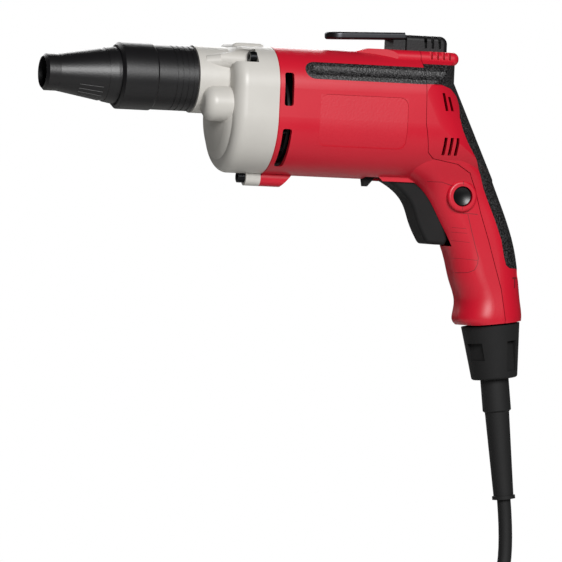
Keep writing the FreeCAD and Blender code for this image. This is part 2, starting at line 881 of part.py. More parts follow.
def make_spindle():
    """Bushing, bit holder with its magnet, spindle with clutch dogs, thrust washer and clutch spring."""
    start = spigot_front + bushing_setback
    keep("front_bushing", ring(bushing_radius, spindle_radius + fit_gap, start, start + bushing_length))

    corner = hex_across_flats / math.sqrt(3)
    points = [V(holder_front - overrun, corner * math.cos(math.radians(60 * i)),
                corner * math.sin(math.radians(60 * i))) for i in range(6)]
    hexagon = Part.Face(Part.makePolygon(points + points[:1])).extrude(V(hex_depth + overrun, 0, 0))
    magnet_start = holder_front + hex_depth
    holder = rod(holder_radius, holder_front, holder_rear)
    edges = [edge for edge in holder.Edges if edge.BoundBox.XLength < fit_gap]
    holder = holder.makeChamfer(holder_groove_depth, edges)
    groove_x = holder_front + hex_depth / 2
    groove_bottom = holder_radius - holder_groove_depth
    groove = ring(holder_radius + overrun, groove_bottom, groove_x, groove_x + holder_groove_width)
    pin_hole = rod(magnet_radius + fit_gap, holder_rear - hex_depth, holder_rear + overrun)
    pocket = rod(magnet_radius + seat_gap, magnet_start - overrun, magnet_start + magnet_length)
    keep("bit_holder", holder.cut([hexagon, groove, pocket, pin_hole]))
    keep("bit_magnet", rod(magnet_radius, magnet_start, magnet_start + magnet_length))

    pin = rod(magnet_radius, holder_rear - hex_depth + overrun, holder_rear + overrun)
    shaft = rod(spindle_radius, holder_rear, flange_front + overrun)
    flange = rod(flange_radius, flange_front, flange_rear)
    pilot = rod(pilot_radius, flange_rear - overrun, gear_front + gear_width + gear_hub_length / 2)
    dogs = dog_ring(flange_rear - overrun, flange_rear + spindle_dog_length, 0)
    keep("spindle", joined(shaft, pin, flange, pilot, *dogs))

    washer_start = flange_rear + fit_gap
    washer_end = washer_start + washer_thickness
    keep("thrust_washer", ring(washer_radius, pilot_radius + fit_gap, washer_start, washer_end))
    middle = (pilot_radius + washer_radius) / 2
    keep("clutch_spring", ring(middle + clutch_wire / 2, middle - clutch_wire / 2, washer_end + fit_gap,
                               gear_front - fit_gap))


def make_gears():
    """Drive gear with its hub and dogs, its bearing, and the armature shaft with the pinion cut on it."""
    quarter = math.pi / 2
    phase = -quarter + math.pi / gear_teeth
    outline = gear_outline(gear_teeth, gear_addendum, gear_dedendum, phase, gear_front, 0)
    wheel = Part.Face(outline).extrude(V(gear_width, 0, 0))
    hub = rod(gear_hub_radius, gear_front, gear_front + gear_width + gear_hub_length)
    dogs = dog_ring(dogs_front, gear_front + overrun, 180 / dog_count)
    bore = rod(pilot_radius + fit_gap, dogs_front - overrun, plate_rear + overrun)
    keep("drive_gear", joined(wheel, hub, *dogs).cut(bore))
    keep("gear_bearing", bearing(plate_front, gear_hub_radius, 0))
    keep("front_motor_bearing", bearing(plate_rear - bearing_width, motor_shaft_radius, motor_z))

    outline = gear_outline(pinion_teeth, pinion_addendum, pinion_dedendum, quarter, pinion_front, motor_z)
    pinion = Part.Face(outline).extrude(V(pinion_width, 0, 0))
    shaft = rod(motor_shaft_radius, pinion_front + pinion_width, rear_bearing_end + overrun, motor_z)
    keep("armature_shaft", joined(shaft, pinion))


def make_armature():
    """Fan, laminated core, end windings and commutator on the armature shaft."""
    bore = motor_shaft_radius + seat_gap
    hole = rod(bore, parting_x - overrun, rear_bearing_end, motor_z)
    disc = rod(fan_radius, fan_rear - fan_back, fan_rear, motor_z)
    hub = rod(fan_hub_radius, fan_front, fan_rear, motor_z)
    half = fan_blade_thickness / 2
    blade_bottom = motor_z + fan_hub_radius - overrun
    blade = block(fan_front, fan_rear, -half, half, blade_bottom, motor_z + fan_radius - overrun)
    blades = [turned_about_x(blade, 360 * i / fan_blades, motor_z) for i in range(fan_blades)]
    keep("fan", joined(disc, hub, *blades).cut(hole))

    core = rod(core_radius, core_start, core_end, motor_z)
    slot_bottom = motor_z + core_radius - slot_depth
    slot = block(core_start - overrun, core_end + overrun, -slot_width / 2, slot_width / 2, slot_bottom,
                 motor_z + core_radius + overrun)
    slots = [turned_about_x(slot, 360 * i / core_slots, motor_z) for i in range(core_slots)]
    keep("armature_core", core.cut(slots + [hole]))

    ends = []
    for start in (core_start - winding_length, core_end):
        end = ring(winding_radius, bore + overrun, start, start + winding_length, motor_z)
        edges = [edge for edge in end.Edges if edge.BoundBox.ZLength > 2 * winding_radius - overrun
                 and edge.BoundBox.XLength < fit_gap]
        ends.append(end.makeFillet(winding_length / 4, edges))
    wire = block(core_start, core_end, -slot_width / 4, slot_width / 4, slot_bottom + fit_gap,
                 slot_bottom + slot_depth / 2)
    wires = [turned_about_x(wire, 360 * i / core_slots, motor_z) for i in range(core_slots)]
    keep("armature_windings", joined(ends[0], ends[1], *wires))

    bars = rod(commutator_radius, commutator_start, commutator_end, motor_z)
    cut = block(commutator_start - overrun, commutator_end + overrun, -commutator_slot_width / 2,
                commutator_slot_width / 2, motor_z + commutator_radius - commutator_slot_depth,
                motor_z + commutator_radius + overrun)
    cuts = [turned_about_x(cut, 360 * i / commutator_slots, motor_z) for i in range(commutator_slots)]
    keep("commutator", bars.cut(cuts + [hole]))
    keep("rear_motor_bearing", bearing(rear_bearing_start, motor_shaft_radius, motor_z))


def make_field():
    """Fan baffle, field stator and its two coils."""
    start = fan_rear + end_gap
    baffle_radius = barrel_radius - housing_wall - free_gap
    keep("fan_baffle", ring(baffle_radius, baffle_bore, start, start + baffle_thickness, motor_z))

    yoke = ring(stator_radius, stator_radius - yoke_thickness, stator_start, stator_end, motor_z)
    pole_radius = stator_radius - yoke_thickness / 2
    foot = V(stator_start, 0, motor_z)
    pole = Part.makeCylinder(pole_radius, stator_length, foot, X_DIR, 2 * pole_half_angle)
    bore = rod(stator_bore, stator_start - overrun, stator_end + overrun, motor_z)
    quarter = 90
    poles = [turned_about_x(pole, turn - pole_half_angle, motor_z) for turn in (0, 2 * quarter)]
    keep("field_stator", joined(yoke, *poles).cut(bore))

    gap_angle = 2 * (quarter - pole_half_angle) - coil_slack
    coil_start = stator_start - winding_length / 2
    coil = Part.makeCylinder(stator_radius - yoke_thickness - fit_gap, stator_length + winding_length,
                             V(coil_start, 0, motor_z), X_DIR, gap_angle)
    coil = coil.cut(rod(stator_bore + free_gap, coil_start - overrun, stator_end + winding_length, motor_z))
    turns = (quarter - gap_angle / 2, -quarter - gap_angle / 2)
    keep("field_coils", *[turned_about_x(coil, turn, motor_z) for turn in turns])


def make_brushes():
    """Brush carrier, two brush holders, the carbon brushes and the springs behind them."""
    carrier_start = commutator_end + end_gap
    outer = holder_reach + commutator_radius
    carrier_end = carrier_start + carrier_thickness
    keep("brush_carrier", ring(outer, commutator_radius + overrun, carrier_start, carrier_end, motor_z))
    middle = (commutator_start + commutator_end) / 2
    half_x = brush_width / 2
    half_z = brush_height / 2
    top = outer - holder_wall
    holders = []
    brushes = []
    springs = []
    for side in SIDES:
        inner = commutator_radius + overrun
        shell = block(middle - half_x - holder_wall, carrier_start, inner, outer,
                      motor_z - half_z - holder_wall, motor_z + half_z + holder_wall)
        room = block(middle - half_x - fit_gap, middle + half_x + fit_gap, inner - overrun, top,
                     motor_z - half_z - fit_gap, motor_z + half_z + fit_gap)
        face = commutator_radius + free_gap
        rest = face + brush_length
        brush = block(middle - half_x, middle + half_x, face, rest, motor_z - half_z, motor_z + half_z)
        spring = Part.makeCylinder(half_z, top - rest, V(middle, rest, motor_z), Y_DIR)
        spring = spring.cut(Part.makeCylinder(half_z - spring_wire, top, V(middle, face, motor_z), Y_DIR))
        group = (shell.cut(room), brush, spring)
        if side < 0:
            group = tuple(mirrored(shape) for shape in group)
        holders.append(group[0])
        brushes.append(group[1])
        springs.append(group[2])
    keep("brush_holders", *holders)
    keep("carbon_brushes", *brushes)
    keep("brush_springs", *springs)


def seam_region(shift):
    """Space of the rear cover: everything behind the seam, moved back and up by the shift."""
    outline = []
    for x_share, drop_share in zip(seam_x_shares, seam_drop_shares):
        outline.append((barrel_end + handle_reach * x_share + shift, -handle_drop * drop_share + shift))
    far = barrel_end + 2 * handle_reach
    outline += [(far, outline[-1][1]), (far, outline[0][1])]
    return prism(outline, -handle_reach, handle_reach)


def rubber_region():
    """Space of the rubber on the back: from under the rail, round the rear shoulder and down the handle."""
    outline = [(barrel_end, rubber_top)]
    for x_share, drop_share in zip(border_x_shares, border_drop_shares):
        outline.append((barrel_end + handle_reach * x_share, -handle_drop * drop_share))
    far = barrel_end + 2 * handle_reach
    outline += [(far, outline[-1][1]), (far, rubber_top)]
    return prism(outline, -handle_reach, handle_reach)


def groove_pill(side, radius):
    """Bar that shapes a side groove, from its round front end to behind the tail."""
    start = parting_x + groove_setback + groove_radius - radius
    return pill(radius, start, barrel_end + tail_length, groove_height, side * groove_reach)


def trigger_outline():
    """Side view of the trigger as (x, z) points."""
    return [(trigger_front + trigger_depth * x_share, -trigger_top - trigger_height * drop_share)
            for x_share, drop_share in zip(trigger_x_shares, trigger_drop_shares)]


def slanted_slot(x, top, height, lean, side):
    """Cutter for one leaning vent slot through the side wall."""
    half = cover_vent_width / 2
    low = top - height
    outline = [(x - half, top), (x + half, top), (x + half + lean, low), (x - half + lean, low)]
    near = barrel_radius - vent_depth
    far = barrel_radius + overrun
    return prism(outline, near, far) if side > 0 else prism(outline, -far, -near)


def panel_cut():
    """Thin layer that sinks the flat panel into each side of the barrel."""
    start = parting_x + panel_setback
    end = start + panel_length
    window = block(start, end, -2 * barrel_radius, 2 * barrel_radius, panel_bottom, panel_top)
    edges = [edge for edge in window.Edges if edge.BoundBox.YLength > barrel_radius]
    window = window.makeFillet(panel_round, edges)
    layer = barrel_slab(start, end, -overrun).cut(barrel_slab(start - overrun, end + overrun, panel_depth))
    return layer.common(window)


def cover_screw_places():
    """Head seat, offset, height and length of each rear cover screw."""
    places = []
    for side in SIDES:
        lower_x = barrel_end + handle_reach * lower_cover_screw_share
        upper_x = barrel_end + handle_reach * upper_cover_screw_share
        places.append((lower_x, side * lower_cover_screw_offset, -lower_cover_screw_drop,
                       cover_screw_length))
        places.append((upper_x, side * upper_cover_screw_offset, -upper_cover_screw_drop,
                       upper_cover_screw_length))
    return places


def along_cord(shape):
    """Moves a shape drawn downwards along Z onto the leaning cord axis at the end of the handle."""
    placed = shape.copy()
    placed.rotate(V(0, 0, 0), Y_DIR, -cord_lean)
    placed.translate(V(barrel_end + cord_axis_setback, 0, -handle_drop + handle_end_rise))
    return placed


def upright(radius, bottom, top, x=0.0, y=0.0):
    """Round bar along Z."""
    return Part.makeCylinder(radius, top - bottom, V(x, y, bottom), Z_DIR)


def make_shells():
    """Motor housing, rear cover and the rubber grips moulded into them."""
    form = body_form(0)
    rail = rounded_box(rail_start, rail_end, -rail_half_width, rail_half_width, rail_bottom, rail_top,
                       rail_round)
    ramp = prism([(rail_start - overrun, barrel_top - overrun), (rail_start + rail_ramp, rail_top),
                  (rail_start + rail_ramp, rail_top + overrun), (rail_start - overrun, rail_top + overrun)],
                 -2 * rail_half_width, 2 * rail_half_width)
    lug_end = parting_x + lug_length
    lug_far = lug_end + lug_length
    lug_low = -lower_screw_drop - ear_radius
    lug_high = lug_low + 2 * lug_slant
    slant = [(lug_end - 2 * lug_slant, lug_low - overrun), (lug_end, lug_high), (lug_far, lug_high),
             (lug_far, lug_low - overrun)]
    lug = rod(ear_radius, parting_x, lug_end, -lower_screw_drop)
    tapers = []
    for side in SIDES:
        outer = side * (rail_half_width + overrun)
        front_x = rail_start - overrun
        corners = [V(front_x, side * rail_front_half_width, 0), V(rail_start + rail_taper, outer, 0),
                   V(front_x, outer, 0)]
        tapers.append(Part.Face(Part.makePolygon(corners + corners[:1])).extrude(Z_DIR * (2 * rail_top)))
    form = form.fuse([rail.cut([ramp] + tapers), lug.cut(prism(slant, -barrel_radius, barrel_radius))])
    inner = body_form(housing_wall)
    shell = form.cut(inner)

    inside = []
    rib_starts = (stator_start + rib_inset, stator_end - rib_inset - rib_width)
    for start in rib_starts:
        inside.append(barrel_slab(start, start + rib_width, housing_wall / 2).cut(
            rod(stator_radius + seat_gap, start - overrun, start + rib_width + overrun, motor_z)))
    bulkhead_front = commutator_end + end_gap + carrier_thickness
    bulkhead_rear = rear_bearing_end + bulkhead_wall
    bulkhead = barrel_slab(bulkhead_front, bulkhead_rear, housing_wall / 2)
    seat = rod(bearing_outer + seat_gap, bulkhead_front - overrun, rear_bearing_end, motor_z)
    passage = rod(motor_shaft_radius + overrun, bulkhead_front, bulkhead_rear + overrun, motor_z)
    bulkhead = bulkhead.cut([seat, passage])
    inside.append(bulkhead)
    for head_x, y, z in case_screw_places():
        inside.append(rod(screw_boss_radius, parting_x, head_x + screw_grip + overrun, z, y).common(form))
    for x, y, z, length in cover_screw_places():
        inside.append(rod(cover_boss_radius, x - length - overrun, x, z, y).common(form))
    for side in SIDES:
        inside.append(groove_pill(side, groove_radius + groove_backing).common(form))
        y0, y1 = sorted((side * (switch_half_width + fit_gap), side * handle_half_width))
        clip = block(switch_front, switch_front + switch_length / 3, y0, y1, -switch_top - switch_height / 2,
                     -switch_top)
        inside.append(clip.common(form))
    pad_bottom = -lever_bottom + lever_thickness + free_gap
    inside.append(block(bulkhead_rear - overrun, lever_pivot_x + lever_pad_half, -lever_pad_half,
                        lever_pad_half, pad_bottom, pad_bottom + lever_pad))
    inside.append(upright(lever_pivot_radius, -lever_bottom + free_gap, pad_bottom + overrun, lever_pivot_x))
    boss = Part.makeCylinder(button_boss_radius, button_boss_face - button_cup_floor + button_floor_thickness,
                             V(button_x, -button_boss_face, button_z), Y_DIR)
    rim = [edge for edge in boss.Edges if edge.BoundBox.YMax < -button_boss_face + overrun]
    inside.append(boss.makeFillet(button_boss_round, rim))
    lip_front = barrel_end - lip_lead
    lip_low = -trigger_top - lip_drop
    lip_rear = lip_front + lip_length
    lip = [(lip_front, lip_low + lip_ramp), (lip_front + lip_ramp, lip_low), (lip_rear, lip_low),
           (lip_rear, lip_low + lip_height), (lip_front, lip_low + lip_height)]
    for side in SIDES:
        y0, y1 = sorted(side * (trigger_half_width + trigger_gap + width) for width in (0, lip_thickness))
        inside.append(prism(lip, y0, y1))
    shell = shell.fuse(inside)

    groove_end = parting_x + parting_groove_width
    groove_ring = barrel_slab(parting_x - overrun, groove_end, -overrun).cut(
        barrel_slab(parting_x - 2 * overrun, groove_end + overrun, parting_groove_depth))
    cuts = [panel_cut(), groove_ring]
    for head_x, y, z in case_screw_places():
        hole_end = head_x + screw_grip + fit_gap
        cuts.append(rod(screw_shank_radius + fit_gap, parting_x - overrun, hole_end, z, y))
    vent_x = parting_x + side_vent_setback
    vent_near = baffle_bore / 2
    for side in SIDES:
        y0, y1 = sorted((side * vent_near, side * (barrel_radius + overrun)))
        for top, height in ((upper_vent_top, upper_vent_height), (lower_vent_top, lower_vent_height)):
            half = side_vent_width / 2
            vent = block(vent_x - half, vent_x + half, y0, y1, top - height, top)
            edges = [edge for edge in vent.Edges if edge.BoundBox.YLength > overrun]
            cuts.append(vent.makeFillet(side_vent_width / 4, edges))
        for index in range(high_vent_count):
            x = barrel_end + high_vent_setback + index * high_vent_pitch
            drop = index * high_vent_step
            cuts.append(slanted_slot(x, high_vent_top - drop, high_vent_height - drop, high_vent_lean, side))
        for index in range(low_vent_count):
            x = barrel_end + low_vent_setback + index * low_vent_pitch
            cuts.append(slanted_slot(x, low_vent_top, low_vent_height, low_vent_lean, side))
        for index in range(notch_count):
            x = rail_end - notch_from_end - index * notch_pitch
            y0, y1 = sorted((side * (rail_half_width - notch_depth), side * (rail_half_width + overrun)))
            cuts.append(block(x - notch_width, x, y0, y1, rail_top - notch_height, rail_top + overrun))
    for x, y, z, length in cover_screw_places():
        cuts.append(rod(cover_screw_radius + fit_gap, x - length, x + overrun, z, y))
        cuts.append(rod(cover_screw_head + free_gap, x, x + handle_reach, z, y))
    hook_screw_x = base_start + base_length / 3
    cuts.append(upright(screw_shank_radius + fit_gap, 0, rail_top + overrun, hook_screw_x))
    slot = trigger_outline()
    low = slot[7][1] - trigger_gap
    rear = slot[8][0] + trigger_travel + trigger_gap
    high = -trigger_top + free_gap
    high_rear = slot[10][0] + trigger_travel + trigger_gap
    slot_outline = [(slot[0][0] - overrun, high), (high_rear, high), (rear, slot[8][1]), (rear, low),
                    (slot[5][0] - 2 * trigger_gap, low)]
    cuts.append(prism(slot_outline, -trigger_half_width - trigger_gap, trigger_half_width + trigger_gap))
    swing = lever_length * math.sin(math.radians(lever_swing)) + lever_half_width + trigger_gap
    pocket = block(lever_tip_x - overrun, lever_pivot_x + lever_hub_radius + trigger_gap, -swing, swing,
                   -trigger_top - trigger_gap, pad_bottom)
    pivot = upright(lever_pivot_radius, -lever_bottom + free_gap, pad_bottom + overrun, lever_pivot_x)
    cuts.append(pocket.cut(pivot))
    cuts.append(Part.makeCylinder(button_radius + free_gap, button_boss_face + overrun - button_cup_floor,
                                  V(button_x, -button_boss_face - overrun, button_z), Y_DIR))
    cuts.append(along_cord(upright(inlet_stub_radius + seat_gap, -overrun - end_gap, inlet_depth)))
    cuts.append(along_cord(upright(inlet_radius + seat_gap, housing_wall, inlet_depth + overrun)))
    shell = shell.cut(cuts)

    grooves = [groove_pill(side, groove_radius) for side in SIDES]
    hollows = [groove_pill(side, groove_radius - rubber_thickness) for side in SIDES]
    housing = shell.cut(seam_region(0))
    for name, groove, hollow in zip(("grip_pad_left", "grip_pad_right"), grooves, hollows):
        pad = form.common(groove).cut([hollow, seam_region(0), rail])
        keep(name, largest(pad))
    keep("motor_housing", largest(housing.cut(grooves)))

    skin = body_form(0).cut(body_form(rubber_thickness))
    region = rubber_region()
    bed = skin.fuse(grooves).common(region)
    behind = seam_region(seam_gap)
    holes = [rod(cover_screw_head + free_gap, x, x + handle_reach, z, y)
             for x, y, z, length in cover_screw_places()]
    cover = shell.common(behind).cut(bed)
    keep("handle_cover", largest(cover))
    grip = body_form(0).common(bed).common(behind).cut(hollows + holes)
    keep("cover_grip", largest(grip))
    sizes = (cover_screw_radius, cover_screw_head, cover_screw_head_height)
    keep("cover_screws", *[screw(x, y, z, length, *sizes, -1) for x, y, z, length in cover_screw_places()])


def make_controls():
    """Trigger, its spring, the switch with its leads, the reversing lever and the lock button."""
    outline = trigger_outline()
    corners = [V(x, -trigger_half_width, z) for x, z in outline]
    finger = Part.BSplineCurve()
    finger.interpolate(corners[:trigger_finger_points])
    rest = corners[trigger_finger_points - 1:] + corners[:1]
    edges = [finger.toShape()] + [Part.LineSegment(p, q).toShape() for p, q in zip(rest, rest[1:])]
    blade = Part.Face(Part.Wire(edges)).extrude(V(0, 2 * trigger_half_width, 0))
    heel_x = (outline[6][0] + outline[7][0]) / 2
    heel = [edge for edge in blade.Edges if edge.BoundBox.YLength > trigger_half_width
            and edge.BoundBox.XMin > heel_x and edge.BoundBox.ZMax < outline[9][1]]
    blade = blade.makeFillet(trigger_heel_round, heel)
    toe = [edge for edge in blade.Edges if edge.BoundBox.YLength > trigger_half_width
           and edge.BoundBox.Center.distanceToPoint(V(outline[6][0], 0, outline[6][1])) < overrun]
    blade = blade.makeFillet(trigger_toe_round, toe)
    front = [edge for edge in blade.Edges if edge.Curve.TypeId == "Part::GeomBSplineCurve"]
    blade = blade.makeFillet(trigger_round, front)
    spring_z = -trigger_top - trigger_spring_drop
    rise = (spring_z - outline[8][1]) / (outline[9][1] - outline[8][1])
    rear = outline[8][0] + (outline[9][0] - outline[8][0]) * rise
    pocket_end = rear - trigger_pocket_depth
    pocket = rod(trigger_spring_radius + free_gap, pocket_end, rear + trigger_depth, spring_z)
    keep("trigger", blade.cut(pocket))
    hollow = trigger_spring_radius - spring_wire
    spring = ring(trigger_spring_radius, hollow, pocket_end + fit_gap, switch_front - fit_gap, spring_z)
    keep("trigger_spring", spring)

    switch = block(switch_front, switch_front + switch_length, -switch_half_width, switch_half_width,
                   -switch_top - switch_height, -switch_top)
    edges = [edge for edge in switch.Edges if edge.BoundBox.YLength > overrun]
    keep("switch_body", switch.makeFillet(trigger_round / 2, edges))
    leads = [along_cord(upright(lead_radius, inlet_depth, switch_top, 0, side * lead_offset))
             for side in SIDES]
    below = block(barrel_end, barrel_end + 2 * handle_reach, -handle_half_width, handle_half_width,
                  -2 * handle_drop, -switch_top - switch_height)
    keep("supply_leads", *[lead.common(below) for lead in leads])

    top = -lever_bottom + lever_thickness
    arm = block(lever_tip_x, lever_pivot_x, -lever_half_width, lever_half_width, -lever_bottom, top)
    tip_low = -lever_bottom - lever_tip_height
    tip_rear = lever_tip_x + lever_tip_length
    tip_outline = [(lever_tip_x, top), (lever_tip_x, -lever_bottom),
                   (lever_tip_x + lever_tip_length * lever_tip_front_share, tip_low),
                   (lever_tip_x + lever_tip_length * lever_tip_flat_share, tip_low),
                   (tip_rear, -lever_bottom), (tip_rear, top)]
    tip = prism(tip_outline, -lever_half_width, lever_half_width)
    hub = upright(lever_hub_radius, -lever_bottom, top, lever_pivot_x)
    hole = upright(lever_pivot_radius + fit_gap, -lever_bottom - overrun, top + overrun, lever_pivot_x)
    keep("reversing_lever", joined(arm, tip, hub).cut(hole))

    button = Part.makeCylinder(button_radius, button_length, V(button_x, -button_face, button_z), Y_DIR)
    rim = [edge for edge in button.Edges if edge.BoundBox.YMax < -button_face + button_length / 2
           and edge.BoundBox.YLength < overrun]
    button = button.makeFillet(button_dish, rim)
    dish_radius = button_radius ** 2 / (2 * button_dish)
    dish = Part.makeSphere(dish_radius, V(button_x, -button_face - dish_radius + button_dish, button_z))
    keep("lock_button", button.cut(dish))
    start = -button_face + button_length + fit_gap
    spring_radius = button_radius / 2
    spring_foot = V(button_x, start, button_z)
    spring = Part.makeCylinder(spring_radius, -button_cup_floor - fit_gap - start, spring_foot, Y_DIR)
    hollow = Part.makeCylinder(spring_radius - spring_wire, button_face, spring_foot, Y_DIR)
    keep("lock_button_spring", spring.cut(hollow))


def make_hook():
    """Steel belt hook on a ribbed base that is screwed to the rail."""
    tilt = math.radians(hook_tilt)
    bar_top = hook_bar_bottom + hook_bar_height
    bar_end = hook_bar_end - hook_bar_height * math.tan(tilt) / 2
    tip_x = hook_tip_x + hook_half_width
    bar = block(tip_x, bar_end, -hook_half_width, hook_half_width, hook_bar_bottom, bar_top)
    bar = joined(bar, upright(hook_half_width, hook_bar_bottom, bar_top, tip_x))
    edges = [edge for edge in bar.Edges if edge.BoundBox.ZLength < fit_gap
             and edge.BoundBox.XMin < bar_end - overrun]
    bar = bar.makeFillet(hook_round, edges)
    pivot = V(hook_tip_x + hook_pivot_from_tip, 0, (hook_bar_bottom + bar_top) / 2)
    bar.rotate(pivot, Y_DIR, -hook_tilt)
    keep("belt_hook", bar)

    post_end = base_start + overrun
    under = pivot.z - hook_bar_height / 2 / math.cos(tilt) - seat_gap
    rise = [under + (x - pivot.x) * math.tan(tilt) for x in (post_start, post_end)]
    sides = [(post_start, rail_top), (post_start, rise[0]), (post_end, rise[1]), (post_end, rail_top)]
    post = prism(sides, -hook_half_width, hook_half_width)
    base_top = rail_top + base_height
    base = block(base_start, base_end, -base_half_width, base_half_width, rail_top, base_top)
    rear = [edge for edge in base.Edges if edge.BoundBox.XMin > base_end - overrun
            and edge.BoundBox.ZMin > rail_top]
    base = base.makeFillet(base_height / 2, rear)
    sides = [edge for edge in base.Edges if edge.BoundBox.XLength > base_length / 2
             and edge.BoundBox.ZMin > base_top - overrun]
    base = base.makeFillet(base_round, sides)
    cuts = []
    for index in range(base_groove_count):
        x = base_end - base_groove_from_end - index * base_groove_pitch
        groove = block(x - base_groove_width, x, -2 * base_half_width, 2 * base_half_width,
                       rail_top + base_groove_width, base_top + overrun)
        core = block(x - 2 * base_groove_width, x + base_groove_width, -base_half_width + base_groove_depth,
                     base_half_width - base_groove_depth, rail_top, base_top - base_groove_depth)
        cuts.append(groove.cut(core))
    screw_x = base_start + base_length / 3
    head_seat = base_top - screw_head_height - seat_gap
    cuts.append(upright(screw_shank_radius + fit_gap, rail_top - overrun, base_top, screw_x))
    cuts.append(upright(screw_head_radius + fit_gap, head_seat, base_top + overrun, screw_x))
    keep("hook_base", joined(base, post).cut(cuts))
    bolt = screw(0, 0, 0, hook_screw_length, screw_shank_radius, screw_head_radius, screw_head_height)
    bolt.rotate(V(0, 0, 0), Y_DIR, 90)
    bolt.translate(V(screw_x, 0, head_seat))
    keep("hook_screw", bolt)


def make_cord_end():
    """Cord inlet in the end of the handle, lock nut and tapered strain relief."""
    body = upright(inlet_radius, housing_wall + seat_gap, inlet_depth)
    stub = upright(inlet_stub_radius, -inlet_stub_length, inlet_depth / 2)
    keep("cord_inlet", along_cord(joined(body, stub)))

    bottom = -end_gap - nut_length
    nut = Part.makeCone(nut_end_radius, nut_top_radius, nut_length, V(0, 0, bottom), Z_DIR)
    low_rim = [edge for edge in nut.Edges if edge.BoundBox.ZMax < bottom + overrun]
    nut = nut.makeFillet(nut_rim_round, low_rim)
    cuts = [upright(inlet_stub_radius + free_gap, -nut_thread_depth, overrun)]
    cuts.append(upright(relief_head_radius + free_gap, bottom - overrun, overrun))
    top = -end_gap - nut_pocket_from_top
    floor = (nut_top_radius + nut_end_radius) / 2 - nut_pocket_depth
    sizes = ((nut_pocket_width, nut_pocket_height), (nut_slot_width, nut_slot_height))
    for index in range(nut_pocket_count):
        width, height = sizes[index % 2]
        pocket = block(floor, 2 * nut_top_radius, -width / 2, width / 2, top - height, top)
        pocket.rotate(V(0, 0, 0), Z_DIR, 360 * (index + nut_turn_share) / nut_pocket_count)
        cuts.append(pocket)
    keep("lock_nut", along_cord(nut.cut(cuts)))

    top = -inlet_stub_length
    step = top - relief_head_length
    end = top - relief_length
    flange = end + relief_flange_length
    outline = [(0, top), (relief_head_radius, top), (relief_head_radius, step),
               (relief_neck_radius, step - overrun), (relief_tip_radius, flange),
               (relief_flange_radius, flange), (relief_flange_radius, end), (0, end)]
    points = [V(x, 0, z) for x, z in outline]
    face = Part.Face(Part.makePolygon(points + points[:1]))
    keep("strain_relief", along_cord(face.revolve(V(0, 0, 0), Z_DIR, 360)))


def tube_along(edges, start, direction, radius):
    """Round tube along a path of lines and arcs."""
    path = Part.Wire(edges)
    section = Part.Wire([Part.makeCircle(radius, start, direction)])
    return path.makePipeShell([section], True, False)


def rounded_route(points):
    """Straight runs joined by tangent arcs that are as large as the runs allow, with the arcs' radii."""
    edges = []
    radii = []
    last = points[0]
    for before, corner, after in zip(points, points[1:], points[2:]):
        to = corner - before
        away = after - corner
        half_turn = to.getAngle(away) / 2
        reach = cord_arc_share * min(to.Length, away.Length)
        to.normalize()
        away.normalize()
        enter = corner - to * reach
        leave = corner + away * reach
        radius = reach / math.tan(half_turn)
        inward = away - to
        inward.normalize()
        middle = corner + inward * (radius / math.cos(half_turn) - radius)
        edges.append(Part.LineSegment(last, enter).toShape())
        edges.append(Part.Arc(enter, middle, leave).toShape())
        radii.append(round(radius, 1))
        last = leave
    edges.append(Part.LineSegment(last, points[-1]).toShape())
    return edges, radii


def arc_leaving(start, tangent, end):
    """Arc from a point along a tangent to another point."""
    chord = end - start
    along = V(chord)
    along.normalize()
    side = tangent - along * tangent.dot(along)
    if side.Length < arc_flatness_share:
        return Part.LineSegment(start, end).toShape()
    half_turn = tangent.getAngle(chord)
    side.normalize()
    middle = start + chord * 0.5 + side * (chord.Length / 2 * math.tan(half_turn / 2))
    return Part.Arc(start, middle, end).toShape()


def biarc(start, start_tangent, end, end_tangent):
    """Two arcs that join smoothly between two points with given tangents."""
    chord = end - start
    total = start_tangent + end_tangent
    bend = 2 * (1 - start_tangent.dot(end_tangent))
    along = chord.dot(total)
    reach = (-along + math.sqrt(along ** 2 + bend * chord.dot(chord))) / bend
    joint = (start + end + (start_tangent - end_tangent) * reach) * 0.5
    back = arc_leaving(end, end_tangent * -1, joint)
    middle = back.valueAt((back.FirstParameter + back.LastParameter) / 2)
    return [arc_leaving(start, start_tangent, joint), Part.Arc(joint, middle, end).toShape()]


def coil_point(turn, centre, top, start_angle):
    """Middle of the cord after a number of turns: spiral in, climb down at the inside, spiral out."""
    climb_end = coil_top_turns + coil_climb_turns
    inner = coil_radius - cord_pitch * coil_top_turns
    if turn < coil_top_turns:
        radius = coil_radius - cord_pitch * turn
        fall = 0.0
    elif turn < climb_end:
        radius = inner - cord_pitch * min(turn - coil_top_turns, climb_end - turn)
        share = (turn - coil_top_turns) / coil_climb_turns
        fall = cord_pitch * (1 - math.cos(math.pi * share)) / 2
    else:
        radius = inner + cord_pitch * (turn - climb_end)
        fall = cord_pitch
    angle = start_angle - 2 * math.pi * turn
    return V(centre.x + radius * math.cos(angle), centre.y + radius * math.sin(angle), top - fall)


